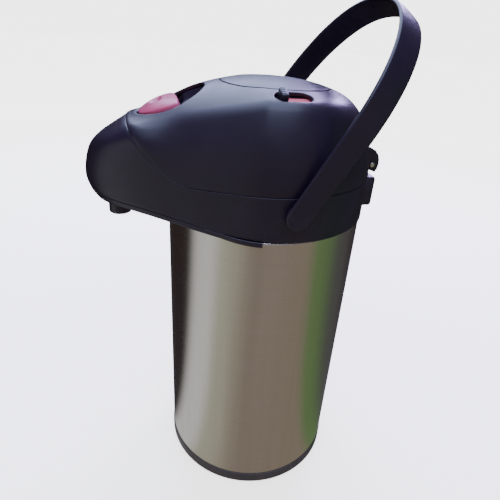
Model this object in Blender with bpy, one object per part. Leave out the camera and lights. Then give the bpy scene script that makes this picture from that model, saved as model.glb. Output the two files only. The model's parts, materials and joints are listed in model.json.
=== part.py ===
# Thermal coffee airpot: brushed steel vacuum body, plastic head with a pouring nose, hinged lid,
# push plate pump, lock slider, lid release pad, carrying bail and turning foot.
# Z is up, the nose points along -Y, the body axis is Z and the foot rests on z = 0. Values are in mm.
import math

import bmesh
import bpy
from mathutils import Vector

MM = 0.001
GAP = 0.3

BODY_R = 82.0
SHELL_WALL = 0.8
SHELL_LOW_Z = 12.9
SHELL_TOP_Z = 265.9
NECK_R = 50.0
NECK_TOP_Z = 286.8
FLASK_R = 73.0
FLASK_LOW_Z = 24.0
FLASK_NECK_R = 46.5

HEAD_R = 83.0
HEAD_WALL = 2.5
RIM_Z = 266.3
SEAM_Z = 300.0
SEAM_GAP = 0.3
NOSE_FLARE = math.radians(25.0)
NOSE_BLEND = 8.0
SEAM_RISE_Y = -68.0
SEAM_RISE = 0.0190
CREASE_R = 66.5
CREASE_FLARE = math.radians(22.0)
CREASE_FRONT = 107.0
CROWN_Z = 368.4
CROWN_Y = -5.0
DECK_Z = 299.4
DECK_THICK = 2.4
MOUTH_R = 46.0
MOUTH_SKIRT_Z = 288.0

PLATE_R = 42.5
PLATE_Y = 1.0
PLATE_TRAVEL = 20.0

SLOT_CENTRE = (54.5, -1.0)
SLOT_LENGTH = 27.0
SLOT_WIDTH = 15.0
SLOT_TILT = math.radians(20.0)

PAD_CENTRE_Y = -80.0
PAD_TILT = math.radians(22.0)
PAD_HALF_X = 26.5
PAD_HALF_Y = 27.0

TRAY_LOW_RIM = -9.6
TRAY_CLEAR = 0.6

HANDLE_PIVOT_Z = 287.5
HANDLE_LEAN = math.radians(32.6)
HANDLE_LOW_HALF = 87.95
HANDLE_HIGH_HALF = 85.73
HANDLE_ARM = 52.0
HANDLE_REACH = 158.5
HANDLE_BEND = 2.25
HANDLE_THICK = 3.9
HANDLE_LOW_WIDTH = 18.6
HANDLE_HIGH_WIDTH = 21.8

HINGE_Y = 86.2
HINGE_Z = 304.0
HINGE_R = 6.6
HINGE_HALF = 20.0

NOZZLE_Y = -121.0
TUBE_Y = -40.0

# nose front distance from the body axis at a few heights, from the rim up to the lid seam
NOSE_FRONT = (
    (262.0, 134.5), (272.0, 135.5), (278.0, 140.0), (284.0, 143.8), (292.0, 146.2),
    (302.0, 145.4), (311.0, 143.0), (318.0, 139.5), (324.0, 133.5), (330.0, 123.5),
    (335.0, 114.5), (340.0, 107.5), (346.0, 100.0),
)


def clearScene():
    for item in list(bpy.data.objects):
        bpy.data.objects.remove(item, do_unlink=True)


def material(name, colour, metallic=0.0, rough=0.5):
    mat = bpy.data.materials.get(name)
    if mat is None:
        mat = bpy.data.materials.new(name)
        mat.use_nodes = True
        shader = mat.node_tree.nodes["Principled BSDF"]
        shader.inputs["Base Color"].default_value = (*colour, 1.0)
        shader.inputs["Metallic"].default_value = metallic
        shader.inputs["Roughness"].default_value = rough
        mat.diffuse_color = (*colour, 1.0)
    return mat


def smoothAngle(obj, degrees=35.0):
    for face in obj.data.polygons:
        face.use_smooth = True
    obj.data.set_sharp_from_angle(angle=math.radians(degrees))


def faceOutward(mesh):
    """Turn every face round when the closed mesh encloses a negative volume."""
    work = bmesh.new()
    work.from_mesh(mesh)
    if work.calc_volume(signed=True) < 0.0:
        bmesh.ops.reverse_faces(work, faces=work.faces[:])
        work.to_mesh(mesh)
    work.free()


def addMesh(name, points, faces, mat, origin=(0.0, 0.0, 0.0), turn=(0.0, 0.0, 0.0)):
    mesh = bpy.data.meshes.new(name)
    mesh.from_pydata([Vector(p) * MM for p in points], [], faces)
    mesh.validate()
    mesh.update()
    faceOutward(mesh)
    obj = bpy.data.objects.new(name, mesh)
    bpy.context.scene.collection.objects.link(obj)
    obj.location = Vector(origin) * MM
    obj.rotation_euler = turn
    obj.data.materials.append(mat)
    smoothAngle(obj)
    return obj


def ringFaces(ringCount, size, loop, start=0):
    """Quads between neighbouring rings of equal size, joined last to first when loop is set."""
    faces = []
    last = ringCount if loop else ringCount - 1
    for i in range(last):
        a = start + i * size
        b = start + ((i + 1) % ringCount) * size
        for j in range(size):
            k = (j + 1) % size
            faces.append((a + j, a + k, b + k, b + j))
    return faces


def ringLoop(name, rings, mat, **place):
    """Closed ring-shaped solid: every ring is a loop round the hole."""
    size = len(rings[0])
    points = [p for ring in rings for p in ring]
    return addMesh(name, points, ringFaces(len(rings), size, True), mat, **place)


def ringStack(name, rings, mat, **place):
    """Solid from a stack of loops closed by a flat face at each end."""
    size = len(rings[0])
    points = [p for ring in rings for p in ring]
    faces = ringFaces(len(rings), size, False)
    faces.append(tuple(reversed(range(size))))
    top = (len(rings) - 1) * size
    faces.append(tuple(range(top, top + size)))
    return addMesh(name, points, faces, mat, **place)


def turned(name, profile, mat, steps=36, hollow=None, **place):
    """Lathe about Z. The profile lists (radius, z) up the outside; a hollow part returns down the inside."""
    if hollow is None:
        hollow = min(p[0] for p in profile) > 0.01
    rings = []
    for radius, z in profile:
        rings.append([(radius * math.cos(2 * math.pi * i / steps),
                       radius * math.sin(2 * math.pi * i / steps), z) for i in range(steps)])
    if hollow:
        return ringLoop(name, rings, mat, **place)
    return cappedLathe(name, profile, mat, steps, **place)


def cappedLathe(name, profile, mat, steps, **place):
    """Lathe whose profile starts and ends on the axis."""
    inner = profile[1:-1]
    points = []
    for radius, z in inner:
        for i in range(steps):
            angle = 2 * math.pi * i / steps
            points.append((radius * math.cos(angle), radius * math.sin(angle), z))
    faces = ringFaces(len(inner), steps, False)
    low = len(points)
    points.append((0.0, 0.0, profile[0][1]))
    points.append((0.0, 0.0, profile[-1][1]))
    top = (len(inner) - 1) * steps
    for i in range(steps):
        k = (i + 1) % steps
        faces.append((low, k, i))
        faces.append((low + 1, top + i, top + k))
    return addMesh(name, points, faces, mat, **place)


def box(name, low, high, mat, **place):
    (x0, y0, z0), (x1, y1, z1) = low, high
    bottom = [(x0, y0, z0), (x1, y0, z0), (x1, y1, z0), (x0, y1, z0)]
    lid = [(x, y, z1) for x, y, z in bottom]
    return ringStack(name, [bottom, lid], mat, **place)


def cutter(obj):
    obj.hide_render = True
    obj.display_type = "WIRE"
    return obj


def combine(obj, tools, operation):
    """Boolean each tool into the object, then drop the tools."""
    for tool in tools:
        mod = obj.modifiers.new(operation.lower(), "BOOLEAN")
        mod.operation = operation
        mod.solver = "EXACT"
        mod.object = cutter(tool)
        bpy.context.view_layer.update()
        graph = bpy.context.evaluated_depsgraph_get()
        mesh = bpy.data.meshes.new_from_object(obj.evaluated_get(graph))
        obj.modifiers.remove(mod)
        old = obj.data
        obj.data = mesh
        bpy.data.meshes.remove(old)
        bpy.data.objects.remove(tool, do_unlink=True)
    smoothAngle(obj)
    return obj


def capsule(name, path, radius, mat, steps=12, bore=0.0, **place):
    """Round bar, or a tube when it has a bore, swept along a path of points in the YZ plane."""
    outer = []
    inner = []
    count = len(path)
    for i, point in enumerate(path):
        before = Vector(path[max(i - 1, 0)])
        after = Vector(path[min(i + 1, count - 1)])
        along = (after - before).normalized()
        side = Vector((1.0, 0.0, 0.0))
        up = along.cross(side)
        for size, rings in ((radius, outer), (bore, inner)):
            rings.append([tuple(Vector(point) + size * (math.cos(a) * side + math.sin(a) * up))
                          for a in (2 * math.pi * j / steps for j in range(steps))])
    if bore > 0.0:
        return ringLoop(name, outer + inner[::-1], mat, **place)
    return ringStack(name, outer, mat, **place)


def coil(name, radius, wire, low, high, turns, mat, steps=16, sides=6, **place):
    """Compression spring about Z with open ends."""
    rings = []
    total = int(turns * steps)
    rise = (high - low) / (2 * math.pi * turns * radius)
    for i in range(total + 1):
        angle = 2 * math.pi * i / steps
        centre = Vector((radius * math.cos(angle), radius * math.sin(angle), low + (high - low) * i / total))
        out = Vector((math.cos(angle), math.sin(angle), 0.0))
        along = Vector((-math.sin(angle), math.cos(angle), rise)).normalized()
        up = along.cross(out)
        rings.append([tuple(centre + wire * (math.cos(a) * out + math.sin(a) * up))
                      for a in (2 * math.pi * j / sides for j in range(sides))])
    return ringStack(name, rings, mat, **place)


# ---- head surface -------------------------------------------------------------------------------

def noseFront(z):
    """Distance of the nose front from the body axis at height z, smoothly joined."""
    table = NOSE_FRONT
    if z <= table[0][0]:
        return table[0][1]
    if z >= table[-1][0]:
        return table[-1][1]
    for i in range(len(table) - 1):
        if table[i][0] <= z <= table[i + 1][0]:
            break
    p0 = table[max(i - 1, 0)]
    p1 = table[i]
    p2 = table[i + 1]
    p3 = table[min(i + 2, len(table) - 1)]
    span = p2[0] - p1[0]
    t = (z - p1[0]) / span
    m1 = (p2[1] - p0[1]) / (p2[0] - p0[0]) * span
    m2 = (p3[1] - p1[1]) / (p3[0] - p1[0]) * span
    return ((2 * t ** 3 - 3 * t ** 2 + 1) * p1[1] + (t ** 3 - 2 * t ** 2 + t) * m1
            + (3 * t ** 2 - 2 * t ** 3) * p2[1] + (t ** 3 - t ** 2) * m2)


def planRadius(angle, radius, flare, front):
    """Plan outline in polar form: a circle at the rear that flares into straight sides and a blunt front.

    The angle is measured from +X towards -Y.
    """
    fold = angle if math.cos(angle) >= 0.0 else math.pi - angle
    if fold > math.pi:
        fold -= 2 * math.pi
    if fold <= flare:
        side = radius
    else:
        side = radius / math.cos(fold - flare)
    if math.sin(fold) <= 0.05:
        return side
    ahead = front / math.sin(fold)
    return (side ** -NOSE_BLEND + ahead ** -NOSE_BLEND) ** (-1.0 / NOSE_BLEND)


def headRadius(angle, z):
    return planRadius(angle, HEAD_R, NOSE_FLARE, noseFront(z))


def seamHeight(y):
    if y >= SEAM_RISE_Y:
        return SEAM_Z
    return SEAM_Z + SEAM_RISE * (SEAM_RISE_Y - y) ** 2


def seamAt(angle):
    """Height and radius of the seam between lid and collar."""
    z = SEAM_Z
    radius = HEAD_R
    for _ in range(30):
        radius = headRadius(angle, z)
        z = 0.5 * z + 0.5 * seamHeight(-radius * math.sin(angle))
    return z, radius


def crownHeight(x, y):
    ahead = min(1.0, max(0.0, (-y - 20.0) / 60.0))
    across = 0.0022 + 0.0045 * ahead
    run = y - CROWN_Y
    if run < 0.0:
        fall = 0.00283 * run * run
    else:
        fall = 0.00212 * run * run + 6.9 * (run / 74.0) ** 5
    return CROWN_Z - across * x * x - fall


def rimHeight(angle):
    """Lower edge of the spout cover, rising from the side of the body to the nose tip."""
    y = -headRadius(angle, 272.0) * math.sin(angle)
    t = min(1.0, max(0.0, (-22.0 - y) / 108.0))
    return 262.5 + 15.0 * t * t * (3.0 - 2.0 * t)


def direction(angle):
    return math.cos(angle), -math.sin(angle)


def at(angle, radius, z):
    cx, cy = direction(angle)
    return (radius * cx, radius * cy, z)


def lidSection(angle, inset):
    """Outer (inset 0) or inner section of the lid from the seam up to the crown, as (radius, z)."""
    seamZ, seamR = seamAt(angle)
    seamZ += SEAM_GAP / 2
    creaseR = planRadius(angle, CREASE_R, CREASE_FLARE, CREASE_FRONT)
    creaseR = min(creaseR, seamR - 0.6)
    cx, cy = direction(angle)
    creaseZ = crownHeight(creaseR * cx, creaseR * cy)
    rear = max(0.0, -math.sin(angle))
    drop = (5.0 + 10.0 * rear) / max(creaseZ - seamZ, 8.0)
    drop = min(drop, 0.45)
    pull = 0.07 + 0.13 * rear
    points = []
    wallSteps = 4
    for i in range(wallSteps + 1):
        f = (1.0 - drop) * i / wallSteps
        points.append((seamR + (creaseR - seamR) * f ** 1.8, seamZ + (creaseZ - seamZ) * f))
    start = points[-1]
    endR = creaseR * (1.0 - pull)
    end = (endR, crownHeight(endR * cx, endR * cy))
    for t in (0.3, 0.55, 0.8):
        points.append(tuple((1 - t) ** 2 * start[k] + 2 * t * (1 - t) * (creaseR, creaseZ)[k]
                            + t * t * end[k] for k in (0, 1)))
    points.append(end)
    for g in (0.8, 0.58, 0.36, 0.14):
        points.append((endR * g, crownHeight(endR * g * cx, endR * g * cy)))
    if inset > 0.0:
        moved = []
        for i, (r, z) in enumerate(points):
            a = points[max(i - 1, 0)]
            b = points[min(i + 1, len(points) - 1)]
            dr, dz = b[0] - a[0], b[1] - a[1]
            size = math.hypot(dr, dz)
            nr, nz = dz / size, -dr / size
            if i == 0:
                moved.append((r - inset, z))
            else:
                moved.append((max(r - inset * nr, 1.0), z - inset * nz))
        points = moved
    return points


HEAD_STEPS = 64
ANGLES = [2 * math.pi * i / HEAD_STEPS for i in range(HEAD_STEPS)]


def domedSkin(name, sections, inner, mat, centreTop, centreUnder):
    """Solid skin between outer and inner sections given per angle, both closed at the centre."""
    count = len(sections[0])
    rings = [[at(ANGLES[j], *sections[j][i]) for j in range(HEAD_STEPS)] for i in range(count)]
    under = [[at(ANGLES[j], *inner[j][i]) for j in range(HEAD_STEPS)] for i in range(count)]
    allRings = under[::-1] + rings
    points = [p for ring in allRings for p in ring]
    faces = ringFaces(len(allRings), HEAD_STEPS, False)
    low = len(points)
    points.append(centreUnder)
    points.append(centreTop)
    top = (len(allRings) - 1) * HEAD_STEPS
    for j in range(HEAD_STEPS):
        k = (j + 1) % HEAD_STEPS
        faces.append((low, k, j))
        faces.append((low + 1, top + j, top + k))
    faces = [tuple(reversed(f)) for f in faces]
    return addMesh(name, points, faces, mat)


def ovalRing(halfX, halfY, z, steps=40, centre=(0.0, 0.0)):
    return [(centre[0] + halfX * math.cos(2 * math.pi * i / steps),
             centre[1] + halfY * math.sin(2 * math.pi * i / steps), z) for i in range(steps)]


def slotRing(length, width, z, steps=8):
    """Stadium outline, long along Y."""
    points = []
    r = width / 2
    reach = length / 2 - r
    for side in (1, -1):
        for i in range(steps + 1):
            a = math.pi * i / steps
            points.append((side * r * math.cos(a), side * (reach + r * math.sin(a)), z))
    return points


def padRing(halfX, halfY, cut, z, inset=0.0, steps=22):
    """Front part of an oval closed by a straight rear edge at y = cut, with rounded corners."""
    hx = halfX - inset
    hy = halfY - inset
    edge = cut - inset
    start = math.asin(min(1.0, edge / hy))
    points = []
    for i in range(steps + 1):
        a = start - (math.pi + 2 * start) * i / steps
        points.append((hx * math.cos(a), hy * math.sin(a), z))
    rightX = hx * math.cos(start)
    for f in (-0.9, -0.5, 0.0, 0.5, 0.9):
        points.append((rightX * f, edge + 1.2 * (1 - f * f), z))
    return points


def buildFoot(dark, rubber, steel):
    foot = turned("swivel_foot", [(0.0, 0.0), (72.5, 0.0), (74.0, 0.8), (74.0, 6.6), (70.0, 6.6), (70.0, 3.2),
                                  (8.4, 3.2), (8.4, 10.0), (2.4, 10.0), (2.4, 4.0), (0.0, 4.0)], dark)
    washer = turned("foot_washer", [(2.6, 10.4), (15.0, 10.4), (15.0, 11.6), (2.6, 11.6)], steel, steps=32)
    screw = turned("foot_screw", [(0.0, 4.6), (2.0, 4.6), (2.0, 11.9), (4.4, 11.9), (4.4, 13.4), (3.6, 14.0),
                                  (0.0, 14.0)], steel, steps=24)
    return foot, washer, screw


def buildBase(dark, steel):
    turned("base_cover", [(76.0, 1.2), (81.6, 1.2), (82.6, 2.4), (82.6, 11.6), (82.1, 12.5), (80.8, 12.5),
                          (80.8, 14.4), (79.4, 14.4), (79.4, 9.4), (9.0, 9.4), (9.0, 7.0), (75.2, 7.0)],
           dark, steps=64)
    turned("shell_bottom", [(0.0, 17.0), (60.0, 16.4), (80.7, 15.0), (80.7, 16.0), (60.0, 17.4), (0.0, 18.0)],
           steel)


def buildVessel(brushed, steel, rubber):
    wall = SHELL_WALL
    turned("outer_shell", [
        (BODY_R - 0.6, SHELL_LOW_Z), (BODY_R, SHELL_LOW_Z + 0.5), (BODY_R, SHELL_TOP_Z - 1.5),
        (BODY_R - 0.5, SHELL_TOP_Z - 0.4), (BODY_R - 1.6, SHELL_TOP_Z), (78.4, SHELL_TOP_Z + 0.2),
        (NECK_R + 2.0, 283.0), (NECK_R, 284.6), (NECK_R, NECK_TOP_Z), (NECK_R - wall, NECK_TOP_Z),
        (NECK_R - wall, 284.2), (NECK_R + 1.4, 282.0), (78.0, SHELL_TOP_Z - 0.9),
        (BODY_R - wall, SHELL_TOP_Z - 1.6), (BODY_R - wall, SHELL_LOW_Z + 0.2)], brushed, steps=64)
    turned("inner_flask", [
        (0.0, FLASK_LOW_Z + 4.0), (40.0, FLASK_LOW_Z + 1.0), (66.0, FLASK_LOW_Z), (71.5, FLASK_LOW_Z + 2.5),
        (FLASK_R, FLASK_LOW_Z + 8.0), (FLASK_R, 252.0), (70.0, 260.0), (52.0, 275.0), (FLASK_NECK_R + 0.8, 279.0),
        (FLASK_NECK_R + 0.8, NECK_TOP_Z + GAP), (NECK_R, NECK_TOP_Z + GAP), (NECK_R, NECK_TOP_Z + GAP + 0.8),
        (FLASK_NECK_R, NECK_TOP_Z + GAP + 0.8), (FLASK_NECK_R, 278.6), (51.4, 274.2), (69.3, 259.4),
        (FLASK_R - wall, 251.6), (FLASK_R - wall, FLASK_LOW_Z + 8.2), (70.9, FLASK_LOW_Z + 3.2),
        (65.9, FLASK_LOW_Z + 0.9), (40.0, FLASK_LOW_Z + 1.9), (0.0, FLASK_LOW_Z + 4.9)], steel)
    ring = turned("mouth_ring", [(34.4, 283.0), (46.1, 283.0), (46.1, 286.6), (34.4, 286.6)], rubber)
    hole = turned("tube_hole", [(0.0, 280.0), (4.7, 280.0), (4.7, 290.0), (0.0, 290.0)], rubber, steps=20,
                  origin=(0.0, TUBE_Y, 0.0))
    combine(ring, [hole], "DIFFERENCE")
    turned("dip_tube", [(3.4, 34.0), (4.2, 34.0), (4.2, 287.6), (3.4, 287.6)], steel, steps=16,
           origin=(0.0, TUBE_Y, 0.0))


def collarRings():
    rings = []
    lowZ = []
    for angle in ANGLES:
        nose = math.sin(angle)
        lift = 0.0 if nose < 0.16 else min(1.0, (nose - 0.16) / 0.09)
        lowZ.append(max(RIM_Z, rimHeight(angle) + 4.5) * lift + RIM_Z * (1.0 - lift))
    seams = [seamAt(angle) for angle in ANGLES]
    steps = 8

    def wallRing(f, inset):
        ring = []
        for j, angle in enumerate(ANGLES):
            top = seams[j][0] - SEAM_GAP / 2
            z = lowZ[j] + (top - lowZ[j]) * f
            ring.append(at(angle, headRadius(angle, z) - inset, z))
        return ring

    def deckRing(z):
        return [at(angle, headRadius(angle, z) - HEAD_WALL, z) for angle in ANGLES]

    def round_(radius, z):
        return [at(angle, radius, z) for angle in ANGLES]

    for i in range(steps + 1):
        rings.append(wallRing(i / steps, 0.0))
    topInner = []
    deckTop = []
    for j, angle in enumerate(ANGLES):
        top = seams[j][0] - SEAM_GAP / 2
        topInner.append(at(angle, headRadius(angle, top) - HEAD_WALL, top))
        z = min(DECK_Z, top - 0.4)
        deckTop.append(at(angle, headRadius(angle, z) - HEAD_WALL, z))
    rings.append(topInner)
    for f in (0.66, 0.33):
        mid = []
        for j, angle in enumerate(ANGLES):
            z = deckTop[j][2] + (topInner[j][2] - deckTop[j][2]) * f
            mid.append(at(angle, headRadius(angle, z) - HEAD_WALL, z))
        rings.append(mid)
    rings.append(deckTop)
    rings.append(round_(MOUTH_R + 2.0, DECK_Z))
    rings.append(round_(MOUTH_R, DECK_Z - 1.0))
    rings.append(round_(MOUTH_R, MOUTH_SKIRT_Z))
    rings.append(round_(MOUTH_R + 2.4, MOUTH_SKIRT_Z))
    rings.append(round_(MOUTH_R + 2.4, DECK_Z - DECK_THICK))
    rings.append(deckRing(DECK_Z - DECK_THICK))
    for f in (0.66, 0.33, 0.0):
        inner = []
        for j, angle in enumerate(ANGLES):
            z = lowZ[j] + (DECK_Z - DECK_THICK - lowZ[j]) * f
            inner.append(at(angle, headRadius(angle, z) - HEAD_WALL, z))
        rings.append(inner)
    return rings


def buildCollar(dark):
    collar = ringLoop("collar", collarRings(), dark)
    holes = []
    for side in (1.0, -1.0):
        holes.append(turned("pivot_hole", [(0.0, 74.0), (5.5, 74.0), (5.5, 90.0), (0.0, 90.0)], dark, steps=24,
                            origin=(0.0, 0.0, HANDLE_PIVOT_Z), turn=(0.0, side * math.pi / 2, 0.0)))
    holes.append(turned("pipe_hole", [(0.0, 30.0), (4.9, 30.0), (4.9, 56.0), (0.0, 56.0)], dark, steps=20,
                        origin=(0.0, 0.0, 292.6), turn=(math.pi / 2, 0.0, 0.0)))
    combine(collar, holes, "DIFFERENCE")
    return collar


def buildSpoutCover(dark):
    """Crescent plate closing the underside of the nose, hugging the steel body."""
    start = math.asin(22.0 / HEAD_R)
    count = 44
    rings = []
    for i in range(count + 1):
        angle = start + (math.pi - 2 * start) * i / count
        low = rimHeight(angle)
        inner = BODY_R + 0.5
        outer = max(headRadius(angle, low + 4.2), inner + 1.9)
        outerLow = max(headRadius(angle, low) - 0.6, inner + 1.5)
        rings.append([at(angle, inner, low), at(angle, inner, low + 4.2), at(angle, outer, low + 4.2),
                      at(angle, outerLow, low)])
    cover = ringStack("spout_cover", rings, dark)
    hole = turned("nozzle_hole", [(0.0, 240.0), (9.2, 240.0), (9.2, 300.0), (0.0, 300.0)], dark, steps=24,
                  origin=(0.0, NOZZLE_Y, 0.0))
    combine(cover, [hole], "DIFFERENCE")
    return cover


def buildSpout(dark, steel):
    turned("nozzle", [(6.0, 261.2), (8.0, 261.2), (8.8, 262.2), (8.8, 284.0), (5.0, 284.0), (5.0, 263.4)],
           dark, steps=24, origin=(0.0, NOZZLE_Y, 0.0))
    path = [(0.0, TUBE_Y, 288.2)]
    for i in range(5):
        a = math.pi / 2 * i / 4
        path.append((0.0, TUBE_Y - 3.6 * (1 - math.cos(a)), 289.0 + 3.6 * math.sin(a)))
    for y in (-70.0, -95.0):
        path.append((0.0, y, 292.6))
    for i in range(1, 5):
        a = math.pi / 2 * i / 4
        path.append((0.0, NOZZLE_Y + 10.0 - 10.0 * math.sin(a), 282.6 + 10.0 * math.cos(a)))
    path.append((0.0, NOZZLE_Y, 274.0))
    capsule("discharge_pipe", path, 4.0, steel, steps=14, bore=3.2)


def acrossStack(name, outline, reach, mat):
    """Block with its outline in the YZ plane, running from -reach to +reach along X."""
    return ringStack(name, [[(x, y, z) for y, z in outline] for x in (-reach, reach)], mat)


def pinCylinder(name, radius, reach, mat, steps=28):
    """Plain cylinder about the lid's hinge axis."""
    return turned(name, [(0.0, -reach), (radius, -reach), (radius, reach), (0.0, reach)], mat, steps=steps,
                  origin=(0.0, HINGE_Y, HINGE_Z), turn=(0.0, math.pi / 2, 0.0))


def buildHinge(dark, steel):
    """Bracket on the back of the collar whose middle knuckle carries the lid pin."""
    bracket = acrossStack("hinge_bracket", ((80.0, 267.4), (91.0, 267.4), (92.2, 269.4), (92.2, 291.4),
                                            (91.4, 293.2), (80.0, 293.2)), HINGE_HALF, dark)
    neck = acrossStack("neck", ((84.0, 290.0), (91.6, 290.0), (91.6, HINGE_Z), (84.0, HINGE_Z)), 5.4, dark)
    combine(bracket, [neck, pinCylinder("knuckle", HINGE_R, 5.4, dark)], "UNION")
    seat = turned("seat", [(0.0, 200.0), (HEAD_R + 0.4, 200.0), (HEAD_R + 0.4, 310.0), (0.0, 310.0)], dark,
                  steps=64)
    combine(bracket, [seat, pinCylinder("pin_hole", 2.3, 30.0, dark, 20)], "DIFFERENCE")
    turned("hinge_pin", [(0.0, -20.9), (2.0, -20.9), (2.0, 20.9), (0.0, 20.9)], steel, steps=16,
           origin=(0.0, HINGE_Y, HINGE_Z), turn=(0.0, math.pi / 2, 0.0))
    for side, label in ((1.0, "right"), (-1.0, "left")):
        turned("bracket_screw_" + label, [(0.0, 0.0), (3.4, 0.0), (3.4, 1.0), (2.6, 1.6), (0.0, 1.6)], steel,
               steps=16, origin=(side * 11.0, 92.5, 280.0), turn=(-math.pi / 2, 0.0, 0.0))


def buildLid(dark, steel):
    outer = [lidSection(angle, 0.0) for angle in ANGLES]
    inner = [lidSection(angle, HEAD_WALL) for angle in ANGLES]
    lid = domedSkin("lid_shell", outer, inner, dark, (0.0, 0.0, crownHeight(0.0, 0.0)),
                    (0.0, 0.0, crownHeight(0.0, 0.0) - HEAD_WALL))
    ears = acrossStack("ears", ((80.2, 301.2), (83.8, 300.6), (84.0, 299.6), (86.6, 298.9), (89.6, 297.6),
                                (91.6, 300.2), (92.3, 304.0), (92.1, 308.6), (90.6, 312.6), (87.6, 316.0),
                                (83.0, 318.4), (78.6, 319.6)), HINGE_HALF, dark)
    combine(lid, [ears], "UNION")
    cuts = [turned("plate_hole", [(0.0, 340.0), (PLATE_R + 0.5, 340.0), (PLATE_R + 0.5, 380.0), (0.0, 380.0)], dark,
                   steps=48, origin=(0.0, PLATE_Y, 0.0)),
            pinCylinder("pin_hole", 2.3, 30.0, dark, 20), pinCylinder("knuckle_space", 7.4, 5.9, dark),
            acrossStack("neck_space", ((83.5, 290.0), (96.0, 290.0), (96.0, HINGE_Z), (83.5, HINGE_Z)), 5.9, dark)]
    slot = ringStack("slot", [slotRing(SLOT_LENGTH, SLOT_WIDTH, -9.0), slotRing(SLOT_LENGTH, SLOT_WIDTH, 9.0)],
                     dark, origin=slotOrigin(), turn=(0.0, SLOT_TILT, 0.0))
    well = ringStack("well", [ovalRing(PAD_HALF_X, PAD_HALF_Y, -9.0), ovalRing(PAD_HALF_X, PAD_HALF_Y, 12.0)],
                     dark, origin=padOrigin(), turn=(PAD_TILT, 0.0, 0.0))
    combine(lid, cuts + [slot, well], "DIFFERENCE")
    return lid


def slotOrigin():
    x, y = SLOT_CENTRE
    return (x, y, crownHeight(x, y))


def padOrigin():
    return (0.0, PAD_CENTRE_Y, crownHeight(0.0, PAD_CENTRE_Y))


def buildLidInside(dark, rubber, steel):
    turned("lid_base", [(5.0, 287.2), (31.0, 287.2), (33.2, 289.0), (33.2, 300.6), (60.0, 300.6), (60.0, 303.0),
                        (40.0, 303.0), (40.0, 322.0), (38.2, 322.0), (38.2, 304.0), (31.0, 304.0), (31.0, 290.0),
                        (5.0, 290.0)], dark)
    turned("plug_gasket", [(33.5, 291.0), (34.9, 291.0), (35.4, 292.0), (34.9, 293.0), (33.5, 293.0)], rubber,
           steps=32)
    turned("air_valve", [(0.0, 285.0), (9.0, 285.4), (9.0, 286.6), (2.4, 286.8), (2.4, 291.0), (0.0, 291.0)],
           rubber, steps=24)
    folds = 5
    low = 304.6
    high = 344.8
    outer = []
    inner = []
    for i in range(2 * folds + 1):
        z = low + (high - low) * i / (2 * folds)
        radius = 36.4 if i % 2 else 31.6
        outer.append((radius, z))
        inner.append((radius - 1.4, z))
    turned("bellows", outer + inner[::-1], rubber, steps=28)
    turned("bellows_cap", [(0.0, 345.2), (36.0, 345.2), (36.0, 347.4), (0.0, 347.4)], dark, steps=36)
    coil("bellows_spring", 20.0, 1.1, 292.0, 344.0, 6, steel, steps=12, sides=5)


def buildPushPlate(dark):
    steps = 44
    depth = 2.6
    radii = (0.16, 0.38, 0.6, 0.8, 0.94, 1.0)
    outer = []
    inner = []

    def ring(radius, drop):
        points = []
        for i in range(steps):
            a = 2 * math.pi * i / steps
            x = radius * math.cos(a)
            y = PLATE_Y + radius * math.sin(a)
            points.append((x, y, crownHeight(x, y) - drop))
        return points

    for f in radii:
        outer.append(ring(PLATE_R * f if f < 1.0 else PLATE_R, 0.0 if f < 1.0 else 0.5))
    skirt = [[(x, y, 351.0) for x, y, z in outer[-1]]]
    back = [(PLATE_R - depth) / PLATE_R]
    innerSkirt = [[(x * back[0], PLATE_Y + (y - PLATE_Y) * back[0], 351.0) for x, y, z in outer[-1]]]
    for f in (0.94, 0.8, 0.6, 0.38):
        inner.append(ring(PLATE_R * f, depth))
    stem = 6.5
    stemTop = [(stem * math.cos(2 * math.pi * i / steps), PLATE_Y + stem * math.sin(2 * math.pi * i / steps), 365.0)
               for i in range(steps)]
    stemLow = [(x, y, 347.8) for x, y, z in stemTop]
    rings = outer + skirt + innerSkirt + inner + [stemTop, stemLow]
    points = [p for loop in rings for p in loop]
    faces = ringFaces(len(rings), steps, False)
    low = len(points)
    points.append((0.0, PLATE_Y, crownHeight(0.0, PLATE_Y)))
    points.append((0.0, PLATE_Y, 347.8))
    end = (len(rings) - 1) * steps
    for i in range(steps):
        k = (i + 1) % steps
        faces.append((low, k, i))
        faces.append((low + 1, end + i, end + k))
    faces = [tuple(reversed(f)) for f in faces]
    return addMesh("push_plate", points, faces, dark)


def buildLock(dark, red):
    """Tray under the slot with a coloured strip, and the slider whose fin stands out of the slot."""
    place = dict(origin=slotOrigin(), turn=(0.0, SLOT_TILT, 0.0))
    track = box("slider_track", (-7.4, -16.2, -6.8), (7.9, 16.2, -4.3), dark, **place)
    channel = box("channel", (-6.2, -15.2, -5.6), (6.9, 15.2, -1.0), dark, **place)
    combine(track, [channel], "DIFFERENCE")
    box("lock_indicator", (-5.8, -14.8, -5.3), (6.6, 14.8, -4.6), red, **place)
    front = -SLOT_LENGTH / 2 + 5.9
    slider = box("lock_slider", (-5.4, front - 3.4, -4.3), (6.2, front + 3.6, -3.4), dark, **place)
    fin = box("fin", (-5.2, front - 2.8, -3.9), (5.4, front + 3.0, 2.2), dark, **place)
    combine(slider, [fin], "UNION")


def trayRim(halfX, halfY):
    """Upper edge of the tray, which climbs behind the pad to just under the lid's skin."""
    ring = []
    for x, y, low in ovalRing(halfX, halfY, TRAY_LOW_RIM):
        wx, wy, wz = padLocal(x, y, 0.0)
        under = (crownHeight(wx, wy) - wz) * math.cos(PAD_TILT) - HEAD_WALL - TRAY_CLEAR
        t = min(1.0, max(0.0, (y - 4.0) / 8.0))
        ring.append((x, y, low + max(under - low, 0.0) * t * t * (3.0 - 2.0 * t)))
    return ring


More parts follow.
